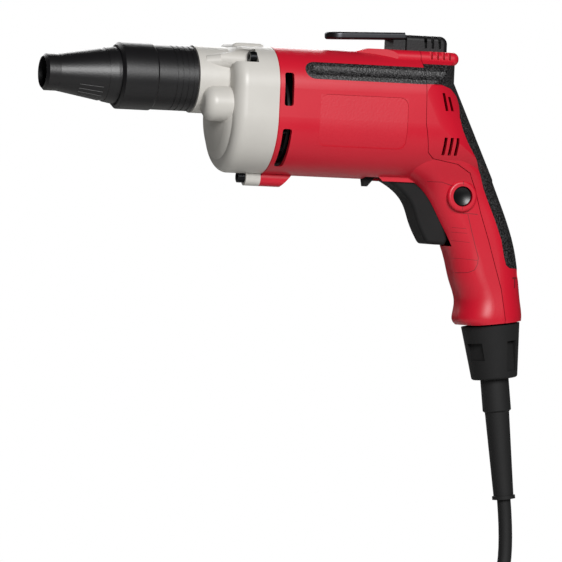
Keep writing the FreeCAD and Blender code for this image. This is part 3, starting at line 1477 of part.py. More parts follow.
def make_cord():
    """Free cord, its coil on the floor, the tie round the coil and the plug."""
    shift = V(grip_from_nose, 0, -grip_below_spindle)
    cord_radius = cord_diameter / 2
    area = math.pi * cord_radius ** 2
    route = [V(*point) + shift for point in cord_route]
    edges, radii = rounded_route(route)
    drop = tube_along(edges, route[0], route[1] - route[0], cord_radius)
    keep("cord_drop", drop)
    length = sum(edge.Length for edge in edges)
    share = drop.Volume / (area * length)
    print("cord_drop length", round(length, 1), "radii", radii, "volume share", round(share, 4))

    start_angle = math.radians(coil_start_angle)
    heading = V(math.sin(start_angle), -math.cos(start_angle), 0)
    first = route[-1] + heading * cord_diameter
    centre = first - V(math.cos(start_angle), math.sin(start_angle), 0) * coil_radius
    last_turn = coil_full_turns + (coil_start_angle + 90) / 360
    count = round(last_turn * coil_steps_per_turn)
    turns = [last_turn * index / count for index in range(count + 1)]
    points = [coil_point(turn, centre, first.z, start_angle) for turn in turns]
    nudge = coil_nudge_share
    ahead = [coil_point(turn + nudge, centre, first.z, start_angle) for turn in turns]
    behind = [coil_point(turn - nudge, centre, first.z, start_angle) for turn in turns]
    tangents = [after - before for after, before in zip(ahead, behind)]
    tangents[0] = heading
    tangents[-1] = X_DIR * -1
    edges = [Part.LineSegment(route[-1], first).toShape()]
    for tangent in tangents:
        tangent.normalize()
    for index in range(count):
        edges += biarc(points[index], tangents[index], points[index + 1], tangents[index + 1])
    tail_end = points[-1] - X_DIR * cord_tail
    edges.append(Part.LineSegment(points[-1], tail_end).toShape())
    coil = tube_along(edges, route[-1], heading, cord_radius)
    keep("cord_coil", coil)
    length = sum(edge.Length for edge in edges)
    steps = coil_samples_per_turn
    samples = [coil_point(index / steps, centre, first.z, start_angle)
               for index in range(int(last_turn * steps))]
    closest = min((a - b).Length for i, a in enumerate(samples) for b in samples[i + steps // 2:])
    share = coil.Volume / (area * length)
    print("cord_coil length", round(length, 1), "least gap", round(closest - cord_diameter, 2),
          "volume share", round(share, 4), "centre", centre - shift)

    half = tie_width / 2
    least = coil_radius - cord_pitch * (coil_top_turns + coil_climb_turns / 2) - cord_radius
    inner = math.sqrt(least ** 2 - half ** 2) - tie_gap
    outer = coil_radius + cord_radius + tie_gap
    low = first.z - cord_pitch - cord_radius - tie_gap
    high = first.z + cord_radius + tie_gap
    hole = block(centre.x - tie_width, centre.x + tie_width, centre.y + inner, centre.y + outer, low, high)
    strap = block(centre.x - half, centre.x + half, centre.y + inner - tie_thickness,
                  centre.y + outer + tie_thickness, low - tie_thickness, high + tie_thickness)
    corners = [edge for edge in strap.Edges if edge.BoundBox.XLength > half]
    inner_corners = [edge for edge in hole.Edges if edge.BoundBox.XLength > half]
    strap = strap.makeFillet(tie_gap + tie_thickness, corners).cut(hole.makeFillet(tie_gap, inner_corners))
    keep("cord_tie", strap)
    floor = low - tie_thickness

    neck_end = tail_end.x - plug_neck_length
    neck = Part.makeCone(cord_radius + overrun, plug_neck_radius, plug_neck_length + overrun,
                         V(tail_end.x, tail_end.y, tail_end.z), X_DIR * -1)
    middle = floor + plug_half_height
    body = rounded_box(neck_end - plug_length, neck_end, tail_end.y - plug_half_width,
                       tail_end.y + plug_half_width, floor, floor + 2 * plug_half_height, plug_round)
    keep("plug_body", joined(body, neck))
    face = neck_end - plug_length
    blades = []
    for side in SIDES:
        y = tail_end.y + side * blade_spacing / 2
        blade = block(face - blade_length, face, y - blade_thickness / 2, y + blade_thickness / 2,
                      middle - blade_width / 2, middle + blade_width / 2)
        tip = [edge for edge in blade.Edges if edge.BoundBox.XMax < face - blade_length + overrun
               and edge.BoundBox.YLength > blade_thickness / 2]
        blades.append(blade.makeChamfer(blade_thickness / 2, tip))
    keep("plug_blades", *blades)


make_nose()
make_gear_case()
make_bearing_plate()
make_spindle()
make_gears()
make_armature()
make_field()
make_brushes()
make_shells()
make_controls()
make_hook()
make_cord_end()
make_cord()

os.makedirs("parts", exist_ok=True)
for name, shape in pieces.items():
    shape.exportStep("parts/" + name + ".step")
print(len(pieces), "pieces")
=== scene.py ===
"""Finishes, supply cord, fine detail, light and camera of a corded drywall screwdriver."""

import logging
import math
from dataclasses import dataclass, field
from enum import Enum, IntEnum

import bpy
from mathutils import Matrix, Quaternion, Vector


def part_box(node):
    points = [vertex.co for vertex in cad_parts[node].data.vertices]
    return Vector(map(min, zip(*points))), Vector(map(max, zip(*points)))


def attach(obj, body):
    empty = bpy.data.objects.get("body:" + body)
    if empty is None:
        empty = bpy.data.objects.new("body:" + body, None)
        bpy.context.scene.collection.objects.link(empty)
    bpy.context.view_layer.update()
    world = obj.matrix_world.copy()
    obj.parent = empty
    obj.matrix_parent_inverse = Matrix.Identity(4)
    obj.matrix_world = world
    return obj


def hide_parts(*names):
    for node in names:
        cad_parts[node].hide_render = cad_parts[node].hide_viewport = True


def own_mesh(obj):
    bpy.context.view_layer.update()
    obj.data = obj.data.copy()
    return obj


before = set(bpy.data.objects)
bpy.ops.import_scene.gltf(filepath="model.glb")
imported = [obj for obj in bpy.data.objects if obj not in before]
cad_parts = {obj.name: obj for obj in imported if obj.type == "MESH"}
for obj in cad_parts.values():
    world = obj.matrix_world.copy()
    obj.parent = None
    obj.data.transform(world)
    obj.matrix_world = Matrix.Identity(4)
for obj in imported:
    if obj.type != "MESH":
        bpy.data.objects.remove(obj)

MM = 0.001
AXES = "XYZ"
FULL_TURN_DEGREES = 360.0
log = logging.getLogger("drywall_screwdriver")

# The sRGB curve: a straight line up to its knee, and a power above it.
FULL_BYTE = 255
SRGB_KNEE = 0.04045
SRGB_SLOPE = 12.92
SRGB_OFFSET = 0.055
SRGB_POWER = 2.4

# How many finer layers lie over the spots of a cloudy pattern.
DRIFT_DETAIL = 4.0
GRAIN_DETAIL = 2.0
PEEL_DETAIL = 1.0

# A wave texture runs through this many radians over one unit of length at a scale of one.
WAVE_RADIANS = 20.0

Colour = tuple[float, float, float, float]
WHITE: Colour = (1.0, 1.0, 1.0, 1.0)


class Body(Enum):
    """The bodies that added pieces ride on."""

    HOUSING = "housing"


class Axis(Enum):
    """The direction that a surface pattern or a spring runs in."""

    LENGTH = "X"
    WIDTH = "Y"


class MixIn(IntEnum):
    """The inputs of a mix node, which share their names and so go by number."""

    FACTOR = 0
    NUMBER_A = 2
    NUMBER_B = 3
    COLOUR_A = 6
    COLOUR_B = 7


class MixOut(IntEnum):
    """The outputs of a mix node, which share their names and so go by number."""

    NUMBER = 0
    COLOUR = 2


def linear(code: str) -> Colour:
    """Turns an sRGB hex colour to linear light.

    Args:
        code: The colour as a hash sign and six hex digits.

    Returns:
        Red, green, blue and full opacity.
    """
    shares = [int(code[start:start + 2], 16) / FULL_BYTE for start in (1, 3, 5)]
    light = [s / SRGB_SLOPE if s <= SRGB_KNEE else ((s + SRGB_OFFSET) / (1 + SRGB_OFFSET)) ** SRGB_POWER
             for s in shares]
    return light[0], light[1], light[2], 1.0


def scaled(colour: Colour, factor: float) -> Colour:
    """Makes a colour darker or paler.

    Args:
        colour: The colour in linear light.
        factor: What its light is multiplied by.

    Returns:
        The new colour, which stays within full light.
    """
    red, green, blue = (min(1.0, share * factor) for share in colour[:3])
    return red, green, blue, 1.0


def add(tree: bpy.types.NodeTree, kind: str, values: dict[str | int, object] | None = None,
        links: dict[str | int, bpy.types.NodeSocket] | None = None, **settings: object) -> bpy.types.Node:
    """Adds a node with its settings and links.

    Args:
        tree: The node tree that takes the node.
        kind: The node's type name.
        values: What each named or numbered input holds.
        links: The output that feeds each named or numbered input.
        settings: The node's own properties.

    Returns:
        The new node.
    """
    node = tree.nodes.new(kind)
    for name, value in settings.items():
        setattr(node, name, value)
    for name, value in (values or {}).items():
        node.inputs[name].default_value = value
    for name, source in (links or {}).items():
        tree.links.new(source, node.inputs[name])
    return node


def link_object(name: str, data: bpy.types.ID) -> bpy.types.Object:
    """Puts a new object into the scene.

    Args:
        name: The object's name.
        data: Its mesh, curve, light or camera.

    Returns:
        The object.
    """
    made = bpy.data.objects.new(name, data)
    bpy.context.collection.objects.link(made)
    return made


def round_line(name: str, kind: str, points: list[Vector], diameter: float,
               rim_steps: int) -> bpy.types.Curve:
    """Makes a line with a round section.

    Args:
        name: The line's name.
        kind: The type of its spline.
        points: Its control points, in metres.
        diameter: Its thickness, in metres.
        rim_steps: How finely its section is rounded.

    Returns:
        The line, which has one spline and closed ends.
    """
    curve = bpy.data.curves.new(name, "CURVE")
    curve.dimensions = "3D"
    curve.bevel_depth = diameter / 2
    curve.bevel_resolution = rim_steps
    curve.use_fill_caps = True
    spline = curve.splines.new(kind)
    spline.points.add(len(points) - 1)
    for target, point in zip(spline.points, points):
        target.co = (*point, 1.0)
    return curve


def toward(azimuth_degrees: float, elevation_degrees: float) -> Vector:
    """Finds the direction from the tool to a place round it.

    Args:
        azimuth_degrees: The turn from straight in front of the tool's left side, positive towards the back.
        elevation_degrees: The height above the horizon.

    Returns:
        The direction, one unit long.
    """
    turn, lift = math.radians(azimuth_degrees), math.radians(elevation_degrees)
    return Vector((math.sin(turn) * math.cos(lift), -math.cos(turn) * math.cos(lift), math.sin(lift)))


@dataclass
class Surface:
    """A material's node tree, its shader and the place of each point on the tool, in metres."""

    tree: bpy.types.NodeTree
    shader: bpy.types.Node
    place: bpy.types.NodeSocket

    def noise(self, spot_mm: float, detail: float) -> bpy.types.NodeSocket:
        """Adds a cloudy pattern.

        Args:
            spot_mm: How large its spots are.
            detail: How many finer layers lie over them.

        Returns:
            The pattern's strength at each point.
        """
        return add(self.tree, "ShaderNodeTexNoise", {"Scale": 1 / (spot_mm * MM), "Detail": detail},
                   {"Vector": self.place}).outputs["Fac"]

    def calculate(self, operation: str, *terms: float | bpy.types.NodeSocket) -> bpy.types.NodeSocket:
        """Adds a sum.

        Args:
            operation: What is done with the terms.
            terms: Numbers and outputs, in their order.

        Returns:
            The result.
        """
        numbers = {place: term for place, term in enumerate(terms) if isinstance(term, float)}
        sources = {place: term for place, term in enumerate(terms) if not isinstance(term, float)}
        return add(self.tree, "ShaderNodeMath", numbers, sources, operation=operation).outputs["Value"]

    def tint(self, low: Colour, high: Colour, share: bpy.types.NodeSocket) -> None:
        """Colours the surface with a mix of two colours.

        Args:
            low: The colour where the share is zero.
            high: The colour where the share is one.
            share: The pattern that mixes them.
        """
        mixed = add(self.tree, "ShaderNodeMix", {MixIn.COLOUR_A: low, MixIn.COLOUR_B: high},
                    {MixIn.FACTOR: share}, data_type="RGBA")
        self.tree.links.new(mixed.outputs[MixOut.COLOUR], self.shader.inputs["Base Color"])

    def emboss(self, height: bpy.types.NodeSocket, depth_mm: float) -> None:
        """Adds relief on top of the relief that the surface has.

        Args:
            height: The pattern that is raised.
            depth_mm: How far it stands out.
        """
        links = {"Height": height}
        for below in self.shader.inputs["Normal"].links:
            links["Normal"] = below.from_socket
        bump = add(self.tree, "ShaderNodeBump", {"Distance": depth_mm * MM}, links)
        self.tree.links.new(bump.outputs["Normal"], self.shader.inputs["Normal"])


@dataclass(frozen=True)
class Finish:
    """A material and how its surface was made."""

    name: str
    colour: str
    roughness: float
    metallic: float = 0.0
    ior: float = 1.5

    def material(self) -> bpy.types.Material:
        """Builds the finish on its first use.

        Returns:
            The finish as a material.
        """
        made = bpy.data.materials.get(self.name)
        if made:
            return made
        made = bpy.data.materials.new(self.name)
        made.use_nodes = True
        tree = made.node_tree
        tree.nodes.clear()
        shader = add(tree, "ShaderNodeBsdfPrincipled",
                     {"Metallic": self.metallic, "IOR": self.ior, "Roughness": self.roughness})
        add(tree, "ShaderNodeOutputMaterial", links={"Surface": shader.outputs["BSDF"]})
        self.shade(Surface(tree, shader, add(tree, "ShaderNodeTexCoord").outputs["Object"]))
        return made

    def shade(self, surface: Surface) -> None:
        """Draws the finish's colour, gloss and relief.

        Args:
            surface: The surface to draw on.
        """
        raise NotImplementedError


@dataclass(frozen=True)
class Mottled(Finish):
    """A finish whose colour and gloss drift a little over the surface, as on a handled piece."""

    mottle_mm: float = 18.0
    mottle_share: float = 0.06
    gloss_share: float = 0.08

    def shade(self, surface: Surface) -> None:
        """Draws the drift of colour and gloss.

        Args:
            surface: The surface to draw on.
        """
        drift = surface.noise(self.mottle_mm, DRIFT_DETAIL)
        base = linear(self.colour)
        surface.tint(scaled(base, 1 - self.mottle_share), scaled(base, 1 + self.mottle_share), drift)
        gloss = add(surface.tree, "ShaderNodeMapRange",
                    {"To Min": self.roughness * (1 - self.gloss_share),
                     "To Max": self.roughness * (1 + self.gloss_share)}, {"Value": drift})
        surface.tree.links.new(gloss.outputs["Result"], surface.shader.inputs["Roughness"])


@dataclass(frozen=True)
class SparkTexture(Mottled):
    """Plastic from a spark-eroded mould: a fine even grain that breaks up its highlights."""

    # Coarser than the real grain of about 0.2 mm, which would be lost between the render's pixels.
    grain_mm: float = 0.5
    grain_depth_mm: float = 0.03

    def shade(self, surface: Surface) -> None:
        """Draws the drift of colour and the mould's grain.

        Args:
            surface: The surface to draw on.
        """
        super().shade(surface)
        surface.emboss(surface.noise(self.grain_mm, GRAIN_DETAIL), self.grain_depth_mm)


@dataclass(frozen=True)
class PanelledNylon(SparkTexture):
    """Spark-textured plastic with one panel on each side where the mould was etched more coarsely."""

    panel_low_mm: tuple[float, float] = (-107.5, 44.0)
    panel_high_mm: tuple[float, float] = (-52.9, 74.5)
    # Coarser than a real etch of about 0.5 mm, as the grain is.
    etch_mm: float = 1.2
    etch_depth_mm: float = 0.09
    etch_roughness: float = 0.5

    def inside(self, surface: Surface) -> bpy.types.NodeSocket:
        """Finds which points lie on a panel.

        Args:
            surface: The surface that has the panels.

        Returns:
            One on a panel and zero elsewhere.
        """
        parts = add(surface.tree, "ShaderNodeSeparateXYZ", links={"Vector": surface.place})
        spans = []
        for name, low, high in zip("XZ", self.panel_low_mm, self.panel_high_mm):
            middle, half = (low + high) / 2 * MM, (high - low) / 2 * MM
            spans.append(surface.calculate("COMPARE", parts.outputs[name], middle, half))
        return surface.calculate("MULTIPLY", *spans)

    def shade(self, surface: Surface) -> None:
        """Draws the grain and the coarser etch of the panels.

        Args:
            surface: The surface to draw on.
        """
        super().shade(surface)
        mask = self.inside(surface)
        etch = surface.noise(self.etch_mm, GRAIN_DETAIL)
        surface.emboss(surface.calculate("MULTIPLY", etch, mask), self.etch_depth_mm)
        roughness = surface.shader.inputs["Roughness"]
        gloss = add(surface.tree, "ShaderNodeMix", {MixIn.NUMBER_B: self.etch_roughness},
                    {MixIn.FACTOR: mask, MixIn.NUMBER_A: roughness.links[0].from_socket}, data_type="FLOAT")
        surface.tree.links.new(gloss.outputs[MixOut.NUMBER], roughness)


@dataclass(frozen=True)
class CastCoat(SparkTexture):
    """A pressure casting under a thin coat: a soft orange peel and the cast skin's fine grit."""

    peel_mm: float = 5.0
    peel_depth_mm: float = 0.05

    def shade(self, surface: Surface) -> None:
        """Draws the coat's peel, then the drift of colour and the grit.

        Args:
            surface: The surface to draw on.
        """
        surface.emboss(surface.noise(self.peel_mm, PEEL_DETAIL), self.peel_depth_mm)
        super().shade(surface)


@dataclass(frozen=True)
class PebbledRubber(Finish):
    """Overmoulded rubber: close round pebbles with paler tops."""

    pebble_mm: float = 0.8
    pebble_depth_mm: float = 0.12
    pebble_disorder: float = 0.9
    # How far from a pebble's middle its foot and its flat top lie, as shares of its size.
    foot_share: float = 0.55
    top_share: float = 0.1
    pale_top_colour: str = "#4C4B4C"

    def shade(self, surface: Surface) -> None:
        """Draws the pebbles and their paler tops.

        Args:
            surface: The surface to draw on.
        """
        cells = add(surface.tree, "ShaderNodeTexVoronoi",
                    {"Scale": 1 / (self.pebble_mm * MM), "Randomness": self.pebble_disorder},
                    {"Vector": surface.place}, feature="SMOOTH_F1")
        top = add(surface.tree, "ShaderNodeMapRange",
                  {"From Min": self.foot_share, "From Max": self.top_share},
                  {"Value": cells.outputs["Distance"]}, interpolation_type="SMOOTHSTEP").outputs["Result"]
        surface.tint(linear(self.colour), linear(self.pale_top_colour), top)
        surface.emboss(top, self.pebble_depth_mm)


@dataclass(frozen=True)
class BandedMetal(Finish):
    """Metal with close parallel lines: tool marks, stacked sheets or wound wire."""

    # Tool and rolling marks are coarser than the real 0.1 mm. Sheets and wires have their real size.
    line_mm: float = 0.4
    line_depth_mm: float = 0.01
    line_axis: Axis = Axis.LENGTH
    line_share: float = 0.15
    line_waver: float = 0.6

    def shade(self, surface: Surface) -> None:
        """Draws the lines in colour and relief.

        Args:
            surface: The surface to draw on.
        """
        bands = add(surface.tree, "ShaderNodeTexWave",
                    {"Scale": math.tau / (WAVE_RADIANS * self.line_mm * MM), "Distortion": self.line_waver},
                    {"Vector": surface.place}, wave_type="BANDS",
                    bands_direction=self.line_axis.value).outputs["Fac"]
        base = linear(self.colour)
        surface.tint(scaled(base, 1 - self.line_share), base, bands)
        surface.emboss(bands, self.line_depth_mm)


NYLON_RED = "#CA122B"
NYLON_IOR = 1.53
ACETAL_IOR = 1.48
RUBBER_IOR = 1.52

# Glass-filled nylon, moulded in its own red: satin, with a fine grain that only shows close up.
RED_NYLON = SparkTexture(
    "red_nylon_spark_textured", NYLON_RED, roughness=0.36, ior=NYLON_IOR,
    mottle_mm=30.0, mottle_share=0.05, grain_mm=0.6, grain_depth_mm=0.02)
# The same nylon with an etched panel on each side of the barrel: the panel is duller and sparkles a little.
PANEL_NYLON = PanelledNylon(
    "red_nylon_etched_panel", NYLON_RED, roughness=0.36, ior=NYLON_IOR,
    mottle_mm=30.0, mottle_share=0.05, grain_mm=0.6, grain_depth_mm=0.02)
# Painted shadow in a fine mould line and in the small recess of the red shells: the same nylon, unlit.
LINE_SHADOW = Mottled(
    "red_nylon_mould_line_shadow", "#7C0C1C", roughness=0.6, ior=NYLON_IOR, mottle_mm=4.0, mottle_share=0.25)
# Zinc alloy, pressure cast, under a warm grey coat: pale, soft highlights, a trace of orange peel.
GREY_CASTING = CastCoat(
    "zinc_casting_grey_coat", "#CAC7C1", roughness=0.38, grain_mm=0.5, grain_depth_mm=0.015)
# Nylon moulded in black with a coarser grain: satin, with a broad dim highlight.
BLACK_NYLON = SparkTexture(
    "black_nylon_spark_textured", "#111012", roughness=0.4, ior=NYLON_IOR, grain_mm=1.1, grain_depth_mm=0.05)
# Nylon moulded in black and left matt: the nut that a hand turns, with hardly a highlight.
MATT_NYLON = SparkTexture(
    "black_nylon_matt", "#070708", roughness=0.8, ior=NYLON_IOR, grain_mm=0.9, grain_depth_mm=0.03)
# Acetal moulded in black with a fine etch: the parts a finger moves, dark and even.
BLACK_ACETAL = SparkTexture(
    "black_acetal_etched", "#070708", roughness=0.8, ior=ACETAL_IOR, grain_mm=0.8, grain_depth_mm=0.015)
# Acetal moulded against a polished face: the dished button, with one soft highlight.
POLISHED_ACETAL = SparkTexture(
    "black_acetal_polished", "#0B0B0C", roughness=0.3, ior=ACETAL_IOR, grain_mm=1.2, grain_depth_mm=0.008)
# Soft thermoplastic rubber moulded over the nylon: dark, with pale pebble tops.
BLACK_RUBBER = PebbledRubber("overmoulded_rubber_pebbled", "#080708", roughness=0.42, ior=RUBBER_IOR)
# Rubber cord jacket, extruded smooth and powdered: nearly black, dull.
CORD_RUBBER = SparkTexture(
    "extruded_rubber_jacket", "#09090A", roughness=0.75, ior=RUBBER_IOR, grain_mm=1.4, grain_depth_mm=0.02)
# Spring steel under black oxide: a dark grey metal with a low, even gloss.
OXIDE_STEEL = BandedMetal(
    "spring_steel_black_oxide", "#4A4B4E", roughness=0.38, metallic=1.0,
    line_mm=0.8, line_depth_mm=0.004, line_share=0.1)
# Spring steel wire, drawn bright: grey with fine drawing marks.
SPRING_WIRE = BandedMetal(
    "spring_steel_wire_drawn", "#9A9B9E", roughness=0.3, metallic=1.0, line_mm=0.25, line_depth_mm=0.003)
# Screw steel under black oxide, turned: nearly black with bright edges.
SCREW_STEEL = BandedMetal("screw_steel_black_oxide", "#2E2F31", roughness=0.34, metallic=1.0, line_mm=0.5)
# Ground steel: bright, with fine turning marks.
GROUND_STEEL = BandedMetal(
    "ground_steel_turned", "#B8B9BC", roughness=0.26, metallic=1.0, line_mm=0.3, line_depth_mm=0.003)
# Stacked silicon steel sheets: dull grey with one line per sheet.
SHEET_STACK = BandedMetal(
    "silicon_steel_stacked", "#6E6F72", roughness=0.45, metallic=1.0,
    line_mm=0.5, line_depth_mm=0.02, line_share=0.35)
# Enamelled copper wire, wound: warm and glossy with one ridge per wire.
WOUND_COPPER = BandedMetal(
    "copper_wire_enamelled", "#B0622F", roughness=0.3, metallic=1.0,
    line_mm=0.8, line_depth_mm=0.1, line_axis=Axis.WIDTH, line_share=0.4)
# Sintered bronze, pressed and oiled: dull brown-gold.
SINTERED_BRONZE = SparkTexture(
    "sintered_bronze_oiled", "#8C6A3C", roughness=0.48, metallic=1.0, grain_mm=0.3)
# Brass, stamped from sheet: pale gold with rolling lines.
STAMPED_BRASS = BandedMetal(
    "brass_stamped", "#C9AE6A", roughness=0.28, metallic=1.0, line_mm=0.4, line_depth_mm=0.003)
# Carbon, pressed and cut: dull dark grey.
PRESSED_CARBON = SparkTexture(
    "carbon_pressed", "#242425", roughness=0.6, grain_mm=0.3, grain_depth_mm=0.03)
# Studio paper: pale and matt.
STUDIO_PAPER = Mottled("studio_paper_matt", "#C9C9C7", roughness=0.9, mottle_mm=400.0, mottle_share=0.005)


@dataclass
class SubAssembly:
    """A group of the tool's pieces and the finish that each of them has."""

    finishes: dict[str, Finish]

    def dress(self) -> None:
        """Gives each piece its finish and smooth shading, in which its own normals keep its creases."""
        for node, finish in self.finishes.items():
            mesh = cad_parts[node].data
            mesh.materials.clear()
            mesh.materials.append(finish.material())
            mesh.polygons.foreach_set("use_smooth", [True] * len(mesh.polygons))
            log.info("%s: %s", node, finish.name)


@dataclass
class Nose(SubAssembly):
    """Depth-setting nose: cone, collar and the bit holder inside them."""

    finishes: dict[str, Finish] = field(default_factory=lambda: {
        "nose_cone": BLACK_NYLON,
        "depth_collar": BLACK_NYLON,
        "bit_holder": GROUND_STEEL,
        "bit_magnet": GROUND_STEEL,
        "spindle": GROUND_STEEL,
        "thrust_washer": GROUND_STEEL,
        "front_bushing": SINTERED_BRONZE,
    })


@dataclass
class Drive(SubAssembly):
    """Gear case, gears and motor."""

    finishes: dict[str, Finish] = field(default_factory=lambda: {
        "gear_case": GREY_CASTING,
        "gear_case_screws": SCREW_STEEL,
        "bearing_plate": GREY_CASTING,
        "drive_gear": GROUND_STEEL,
        "gear_bearing": GROUND_STEEL,
        "front_motor_bearing": GROUND_STEEL,
        "armature_shaft": GROUND_STEEL,
        "fan": BLACK_NYLON,
        "armature_core": SHEET_STACK,
        "armature_windings": WOUND_COPPER,
        "commutator": WOUND_COPPER,
        "rear_motor_bearing": GROUND_STEEL,
        "fan_baffle": BLACK_NYLON,
        "field_stator": SHEET_STACK,
        "field_coils": WOUND_COPPER,
        "brush_carrier": BLACK_NYLON,
        "brush_holders": STAMPED_BRASS,
        "carbon_brushes": PRESSED_CARBON,
    })


@dataclass
class Housing(SubAssembly):
    """Red shells with their rubber grips and screws."""

    finishes: dict[str, Finish] = field(default_factory=lambda: {
        "motor_housing": PANEL_NYLON,
        "handle_cover": RED_NYLON,
        "grip_pad_left": BLACK_RUBBER,
        "grip_pad_right": BLACK_RUBBER,
        "cover_grip": BLACK_RUBBER,
        "cover_screws": SCREW_STEEL,
    })


@dataclass
class Controls(SubAssembly):
    """Trigger, reversing lever and lock button with the switch behind them."""

    finishes: dict[str, Finish] = field(default_factory=lambda: {
        "trigger": BLACK_ACETAL,
        "switch_body": BLACK_NYLON,
        "supply_leads": CORD_RUBBER,
        "reversing_lever": BLACK_ACETAL,
        "lock_button": POLISHED_ACETAL,
    })


@dataclass
class BeltHook(SubAssembly):
    """Belt hook, its base and screw."""

    finishes: dict[str, Finish] = field(default_factory=lambda: {
        "belt_hook": OXIDE_STEEL,
        "hook_base": BLACK_NYLON,
        "hook_screw": SCREW_STEEL,
    })


@dataclass
class SupplyCord(SubAssembly):
    """Cord inlet, strain relief, the free cord with its coil, and the plug."""

    finishes: dict[str, Finish] = field(default_factory=lambda: {
        "cord_inlet": BLACK_NYLON,
        "lock_nut": MATT_NYLON,
        "strain_relief": CORD_RUBBER,
        "cord_tie": BLACK_NYLON,
        "plug_body": CORD_RUBBER,
        "plug_blades": STAMPED_BRASS,
    })
    diameter_mm: float = 8.2
    length_m: float = 2.36
    pitch_mm: float = 8.8
    coil_radius_mm: float = 66.0
    start_degrees: float = -48.0
    tail_degrees: float = -90.0
    turns_in: float = 3.5
    turns_between: float = 0.5
    full_turns: int = 7
    points_per_turn: int = 24
    tail_mm: float = 46.0
    rim_steps: int = 6
    steps_between_points: int = 6
    line_order: int = 3
    route_mm: tuple[tuple[float, float, float], ...] = (
        (30.14, 0.0, -160.83),
        (33.49, 0.0, -186.61),
        (28.90, -4.0, -215.0),
        (17.00, -14.7, -233.7),
        (0.66, -29.4, -242.3),
        (-15.70, -44.2, -242.3),
    )

    def coil_point(self, turn: float, middle: Vector) -> Vector:
        """Finds the cord's middle line in the coil, which spirals in, drops a layer and spirals out.

        Args:
            turn: How many turns lie before the point.
            middle: The middle of the coil's upper layer, in millimetres.

        Returns:
            The point, in millimetres.
        """
        below = self.turns_in + self.turns_between
        inner = self.coil_radius_mm - self.pitch_mm * self.turns_in
        drop = 0.0
        if turn < self.turns_in:
            radius = self.coil_radius_mm - self.pitch_mm * turn
        elif turn < below:
            radius = inner - self.pitch_mm * min(turn - self.turns_in, below - turn)
            drop = self.pitch_mm * (1 - math.cos(math.pi * (turn - self.turns_in) / self.turns_between)) / 2
        else:
            radius = inner + self.pitch_mm * (turn - below)
            drop = self.pitch_mm
        angle = math.radians(self.start_degrees) - math.tau * turn
        return middle + Vector((radius * math.cos(angle), radius * math.sin(angle), -drop))

    def points(self) -> list[Vector]:
        """Lists the control points of the cord's line.

        Returns:
            The fall from the handle, the coil and the straight tail, in millimetres.
        """
        route = [Vector(point) for point in self.route_mm]
        angle = math.radians(self.start_degrees)
        heading = Vector((math.sin(angle), -math.cos(angle), 0.0))
        first = route[-1] + heading * self.diameter_mm
        middle = first - Vector((math.cos(angle), math.sin(angle), 0.0)) * self.coil_radius_mm
        last = self.full_turns + (self.start_degrees - self.tail_degrees) / FULL_TURN_DEGREES
        count = round(last * self.points_per_turn)
        coil = [self.coil_point(last * index / count, middle) for index in range(count + 1)]
        end = coil[-1] - Vector((self.tail_mm, 0.0, 0.0))
        return [*route, *coil, (coil[-1] + end) / 2, end]

    def lay_cord(self) -> None:
        points = self.points()
        curve = round_line("supply_cord", "NURBS", [point * MM for point in points],
                           self.diameter_mm * MM, self.rim_steps)
        spline = curve.splines[0]
        spline.resolution_u = self.steps_between_points
        spline.order_u = self.line_order
        spline.use_endpoint_u = True
        cord = link_object("supply_cord", curve)
        curve.materials.append(CORD_RUBBER.material())
        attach(cord, Body.HOUSING.value)
        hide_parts("cord_drop", "cord_coil")
        log.info("supply_cord: %d control points", len(points))


@dataclass(frozen=True)
class MouldLineShadow:
    """The painted shadow of a fine line that the mould leaves on a shell, as seen from the left."""

    name: str
    node: str
    points_mm: tuple[tuple[float, float], ...]
    width_mm: float = 0.35


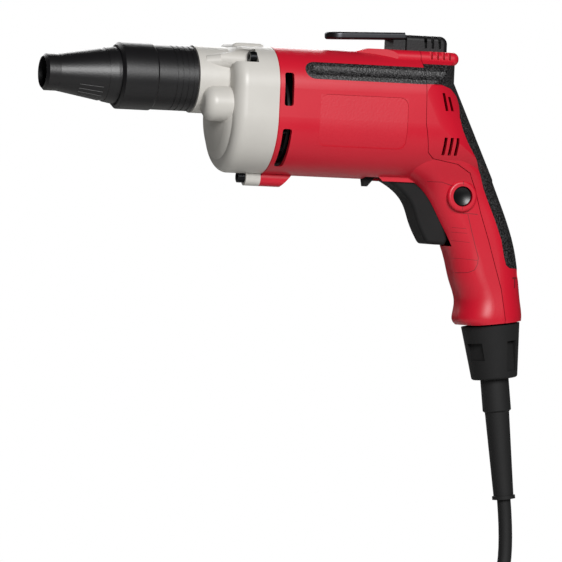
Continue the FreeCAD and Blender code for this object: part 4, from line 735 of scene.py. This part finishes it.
@dataclass
class MouldLineShadows:
    """Painted shadows of the lines round the lock button and on the handle's left flank, and painted shade
    in the cover's small recess.
    """

    step_mm: float = 0.8
    lift_mm: float = 0.05
    reach_mm: float = 100.0
    # Each ribbon is painted shadow: dark nylon laid on the surface where a fine groove or seam is in shade.
    lines: tuple[MouldLineShadow, ...] = (
        MouldLineShadow("lip_line", "motor_housing", ((-33.7, 26.2), (-25.4, 26.2), (-19.1, 24.5), (-17.6, 23.9))),
        MouldLineShadow("ring_line", "motor_housing", ((-10.4, 8.2), (-5.5, 8.3), (-1.0, 8.0))),
        MouldLineShadow("ring_split_high", "motor_housing", ((-12.0, 27.2), (-12.0, 24.3))),
        MouldLineShadow("ring_split_low", "motor_housing", ((-12.0, 12.2), (-12.0, 9.4))),
        MouldLineShadow("flank_line", "motor_housing",
                  ((-7.2, 7.9), (-4.8, -0.3), (-2.1, -9.1), (0.7, -17.4), (0.5, -21.3), (-1.1, -25.0),
                   (-4.6, -26.7), (-16.0, -27.6))),
        MouldLineShadow("flank_cross", "motor_housing", ((-17.0, -18.3), (-9.9, -18.5), (0.3, -19.2)),
                  width_mm=0.2),
        MouldLineShadow("flank_bar_1", "motor_housing", ((-15.7, -0.3), (-7.8, -0.7)), width_mm=0.2),
        MouldLineShadow("flank_bar_2", "motor_housing", ((-15.6, -3.1), (-6.9, -3.4)), width_mm=0.2),
        MouldLineShadow("flank_bar_3", "motor_housing", ((-14.5, -8.1), (-5.1, -8.8)), width_mm=0.2),
        # The cover's small recess is only painted shade: two wide dark ribbons on the surface.
        MouldLineShadow("cover_recess_shadow_bar", "handle_cover", ((23.5, -28.9), (28.3, -28.7)), width_mm=1.2),
        MouldLineShadow("cover_recess_shadow_stem", "handle_cover", ((25.6, -29.2), (25.4, -34.8)), width_mm=1.2),
    )

    def places(self, line: MouldLineShadow) -> list[tuple[float, float]]:
        """Lists close points along a line.

        Args:
            line: The line to follow.

        Returns:
            Points as seen from the left, in millimetres.
        """
        found = [line.points_mm[0]]
        for (x0, z0), (x1, z1) in zip(line.points_mm, line.points_mm[1:]):
            count = max(1, round(math.hypot(x1 - x0, z1 - z0) / self.step_mm))
            found += [(x0 + (x1 - x0) * i / count, z0 + (z1 - z0) * i / count) for i in range(1, count + 1)]
        return found

    def spots(self, line: MouldLineShadow) -> list[tuple[Vector, Vector]]:
        """Finds where a line lies on its shell.

        Args:
            line: The line to follow.

        Returns:
            Points on the surface, in metres, and the directions that it faces there.
        """
        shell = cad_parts[line.node]
        outward = shell.matrix_world
        inward = outward.inverted()
        ahead = (inward.to_3x3() @ Vector((0.0, 1.0, 0.0))).normalized()
        found = []
        for x, z in self.places(line):
            eye = inward @ (Vector((x, -self.reach_mm, z)) * MM)
            hit, spot, normal, _ = shell.ray_cast(eye, ahead)
            if hit:
                found.append((outward @ spot, (outward.to_3x3() @ normal).normalized()))
        return found

    def draw(self, line: MouldLineShadow) -> None:
        """Lays a line's painted shadow on its shell as a narrow dark ribbon that follows the surface.

        Args:
            line: The line to draw.
        """
        spots = self.spots(line)
        corners = []
        for index, (spot, normal) in enumerate(spots):
            before, after = spots[max(0, index - 1)][0], spots[min(len(spots) - 1, index + 1)][0]
            aside = normal.cross(after - before).normalized() * line.width_mm / 2 * MM
            lifted = spot + normal * self.lift_mm * MM
            corners += [lifted - aside, lifted + aside]
        faces = [(2 * i, 2 * i + 2, 2 * i + 3, 2 * i + 1) for i in range(len(spots) - 1)]
        mesh = bpy.data.meshes.new(line.name)
        mesh.from_pydata(corners, [], faces)
        # The ribbon's colour is painted shadow.
        mesh.materials.append(LINE_SHADOW.material())
        ribbon = link_object(line.name, mesh)
        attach(ribbon, Body.HOUSING.value)
        log.info("%s: %d points", line.name, len(spots))

    def draw_all(self) -> None:
        """Draws every line's painted shadow."""
        for line in self.lines:
            self.draw(line)


@dataclass(frozen=True)
class CoilSpring:
    """A wound spring that stands for a plain tube in the frame.

    A spring with a side is one of a pair, and presses on the outer face of another node there.
    """

    name: str
    node: str
    axis: Axis
    wire_mm: float
    turns: float
    joint: str = ""
    travel_mm: float = 0.0
    side: int = 0
    pressed_node: str = ""
    points_per_turn: int = 16
    rim_steps: int = 2

    def wind(self) -> None:
        """Winds the spring inside its tube's box."""
        along = AXES.index(self.axis.value)
        first, second = (place for place in range(len(AXES)) if place != along)
        low, high = (Vector(corner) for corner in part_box(self.node))
        start, end = low[along], high[along]
        if self.side:
            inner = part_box(self.pressed_node)[1][along]
            start, end = sorted((self.side * high[along], self.side * inner))
        middle = (low + high) / 2
        wire = self.wire_mm * MM
        radius = (high[first] - low[first] - wire) / 2
        count = round(self.turns * self.points_per_turn)
        points = []
        for index in range(count + 1):
            angle = math.tau * self.turns * index / count
            point = middle.copy()
            point[along] = start + wire / 2 + (end - start - wire) * index / count
            point[first] += radius * math.cos(angle)
            point[second] += radius * math.sin(angle)
            points.append(point)
        curve = round_line(self.name, "POLY", points, wire, self.rim_steps)
        curve.materials.append(SPRING_WIRE.material())
        wound = link_object(self.name + "_line", curve)
        mesh = bpy.data.meshes.new_from_object(wound.evaluated_get(bpy.context.evaluated_depsgraph_get()))
        bpy.data.objects.remove(wound)
        spring = link_object(self.name, mesh)
        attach(spring, Body.HOUSING.value)
        if self.joint:
            seat = middle.copy()
            seat[along] = end
            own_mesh(spring)
        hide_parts(self.node)
        log.info("%s: %.1f turns", self.name, self.turns)


SPRINGS = (
    CoilSpring("trigger_coil", "trigger_spring", Axis.LENGTH, wire_mm=0.7, turns=9.0,
               joint="trigger_pull", travel_mm=6.0),
    CoilSpring("lock_button_coil", "lock_button_spring", Axis.WIDTH, wire_mm=0.6, turns=4.0,
               joint="lock_button_press", travel_mm=2.5),
    CoilSpring("clutch_coil", "clutch_spring", Axis.LENGTH, wire_mm=1.0, turns=4.0,
               joint="spindle_push", travel_mm=3.0),
    CoilSpring("brush_coil_left", "brush_springs", Axis.WIDTH, wire_mm=0.7, turns=6.0,
               side=-1, pressed_node="carbon_brushes"),
    CoilSpring("brush_coil_right", "brush_springs", Axis.WIDTH, wire_mm=0.7, turns=6.0,
               side=1, pressed_node="carbon_brushes"),
)


@dataclass(frozen=True)
class SoftLight:
    """A square soft light that faces the tool."""

    name: str
    azimuth_degrees: float
    elevation_degrees: float
    side_m: float
    watts: float
    distance_m: float = 2.0

    def hang(self, target: Vector) -> None:
        """Hangs the light.

        Args:
            target: The point that it faces, in metres.
        """
        data = bpy.data.lights.new(self.name, "AREA")
        data.size = self.side_m
        data.energy = self.watts
        light = link_object(self.name, data)
        light.location = target + toward(self.azimuth_degrees, self.elevation_degrees) * self.distance_m
        light.rotation_mode = "QUATERNION"
        light.rotation_quaternion = (target - light.location).to_track_quat("-Z", "Y")
        log.info("%s: %.0f W", self.name, self.watts)


@dataclass
class Studio:
    """Plain pale floor, soft lights and the camera."""

    look_at_mm: tuple[float, float, float] = (-115.9, 0.0, -36.3)
    distance_m: float = 4.0
    lens_mm: float = 434.3
    sensor_mm: float = 36.0
    far_m: float = 100.0
    azimuth_degrees: float = -18.5
    elevation_degrees: float = 0.5
    roll_degrees: float = 2.5
    floor_mm: float = -257.3
    floor_half_m: float = 0.7
    room_glow: float = 0.05
    seen_glow: float = 1.0
    lights: tuple[SoftLight, ...] = (
        SoftLight("key", azimuth_degrees=-3.0, elevation_degrees=23.0, side_m=0.8, watts=40.0),
        SoftLight("left_back", azimuth_degrees=-165.0, elevation_degrees=25.0, side_m=1.0, watts=10.0),
        SoftLight("right_back", azimuth_degrees=165.0, elevation_degrees=25.0, side_m=1.0, watts=14.0),
    )

    def target(self) -> Vector:
        """Finds the point that the camera and the lights face.

        Returns:
            The point, in metres.
        """
        return Vector(self.look_at_mm) * MM

    def set_camera(self) -> None:
        """Places the camera at the angle of the photograph."""
        data = bpy.data.cameras.new("camera")
        data.lens = self.lens_mm
        data.sensor_width = self.sensor_mm
        data.clip_end = self.far_m
        data.dof.use_dof = False
        camera = link_object("camera", data)
        back = toward(self.azimuth_degrees, self.elevation_degrees)
        camera.rotation_mode = "QUATERNION"
        camera.location = self.target() + back * self.distance_m
        level = (-back).to_track_quat("-Z", "Y")
        camera.rotation_quaternion = level @ Quaternion((0.0, 0.0, 1.0), math.radians(self.roll_degrees))
        bpy.context.scene.camera = camera
        log.info("camera: %.1f mm lens", self.lens_mm)

    def lay_floor(self) -> None:
        """Lays the studio paper that the coil rests on."""
        half, level = self.floor_half_m, self.floor_mm * MM
        mesh = bpy.data.meshes.new("studio_floor")
        corners = [(-half, -half, level), (half, -half, level), (half, half, level), (-half, half, level)]
        mesh.from_pydata(corners, [], [(0, 1, 2, 3)])
        mesh.materials.append(STUDIO_PAPER.material())
        floor = link_object("studio_floor", mesh)
        log.info("studio_floor: %s", STUDIO_PAPER.name)

    def light(self) -> None:
        """Lights the tool from the camera's side and both back corners, in a room that looks white."""
        world = bpy.data.worlds.new("white_room")
        world.use_nodes = True
        tree = world.node_tree
        tree.nodes.clear()
        seen = add(tree, "ShaderNodeLightPath").outputs["Is Camera Ray"]
        strength = add(tree, "ShaderNodeMapRange", {"To Min": self.room_glow, "To Max": self.seen_glow},
                       {"Value": seen})
        glow = add(tree, "ShaderNodeBackground", {"Color": WHITE}, {"Strength": strength.outputs["Result"]})
        add(tree, "ShaderNodeOutputWorld", links={"Surface": glow.outputs["Background"]})
        bpy.context.scene.world = world
        bpy.context.scene.view_settings.view_transform = "Standard"
        for light in self.lights:
            light.hang(self.target())


def main() -> None:
    """Dresses the tool, lays its cord and sets up the studio."""
    logging.basicConfig(level=logging.INFO)
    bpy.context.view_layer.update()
    for group in (Nose(), Drive(), Housing(), Controls(), BeltHook()):
        group.dress()
    supply = SupplyCord()
    supply.dress()
    supply.lay_cord()
    # Painted shadows of the mould lines and painted shade in the cover's small recess.
    MouldLineShadows().draw_all()
    for spring in SPRINGS:
        spring.wind()
    studio = Studio()
    studio.set_camera()
    studio.lay_floor()
    studio.light()


if __name__ == "__main__":
    main()
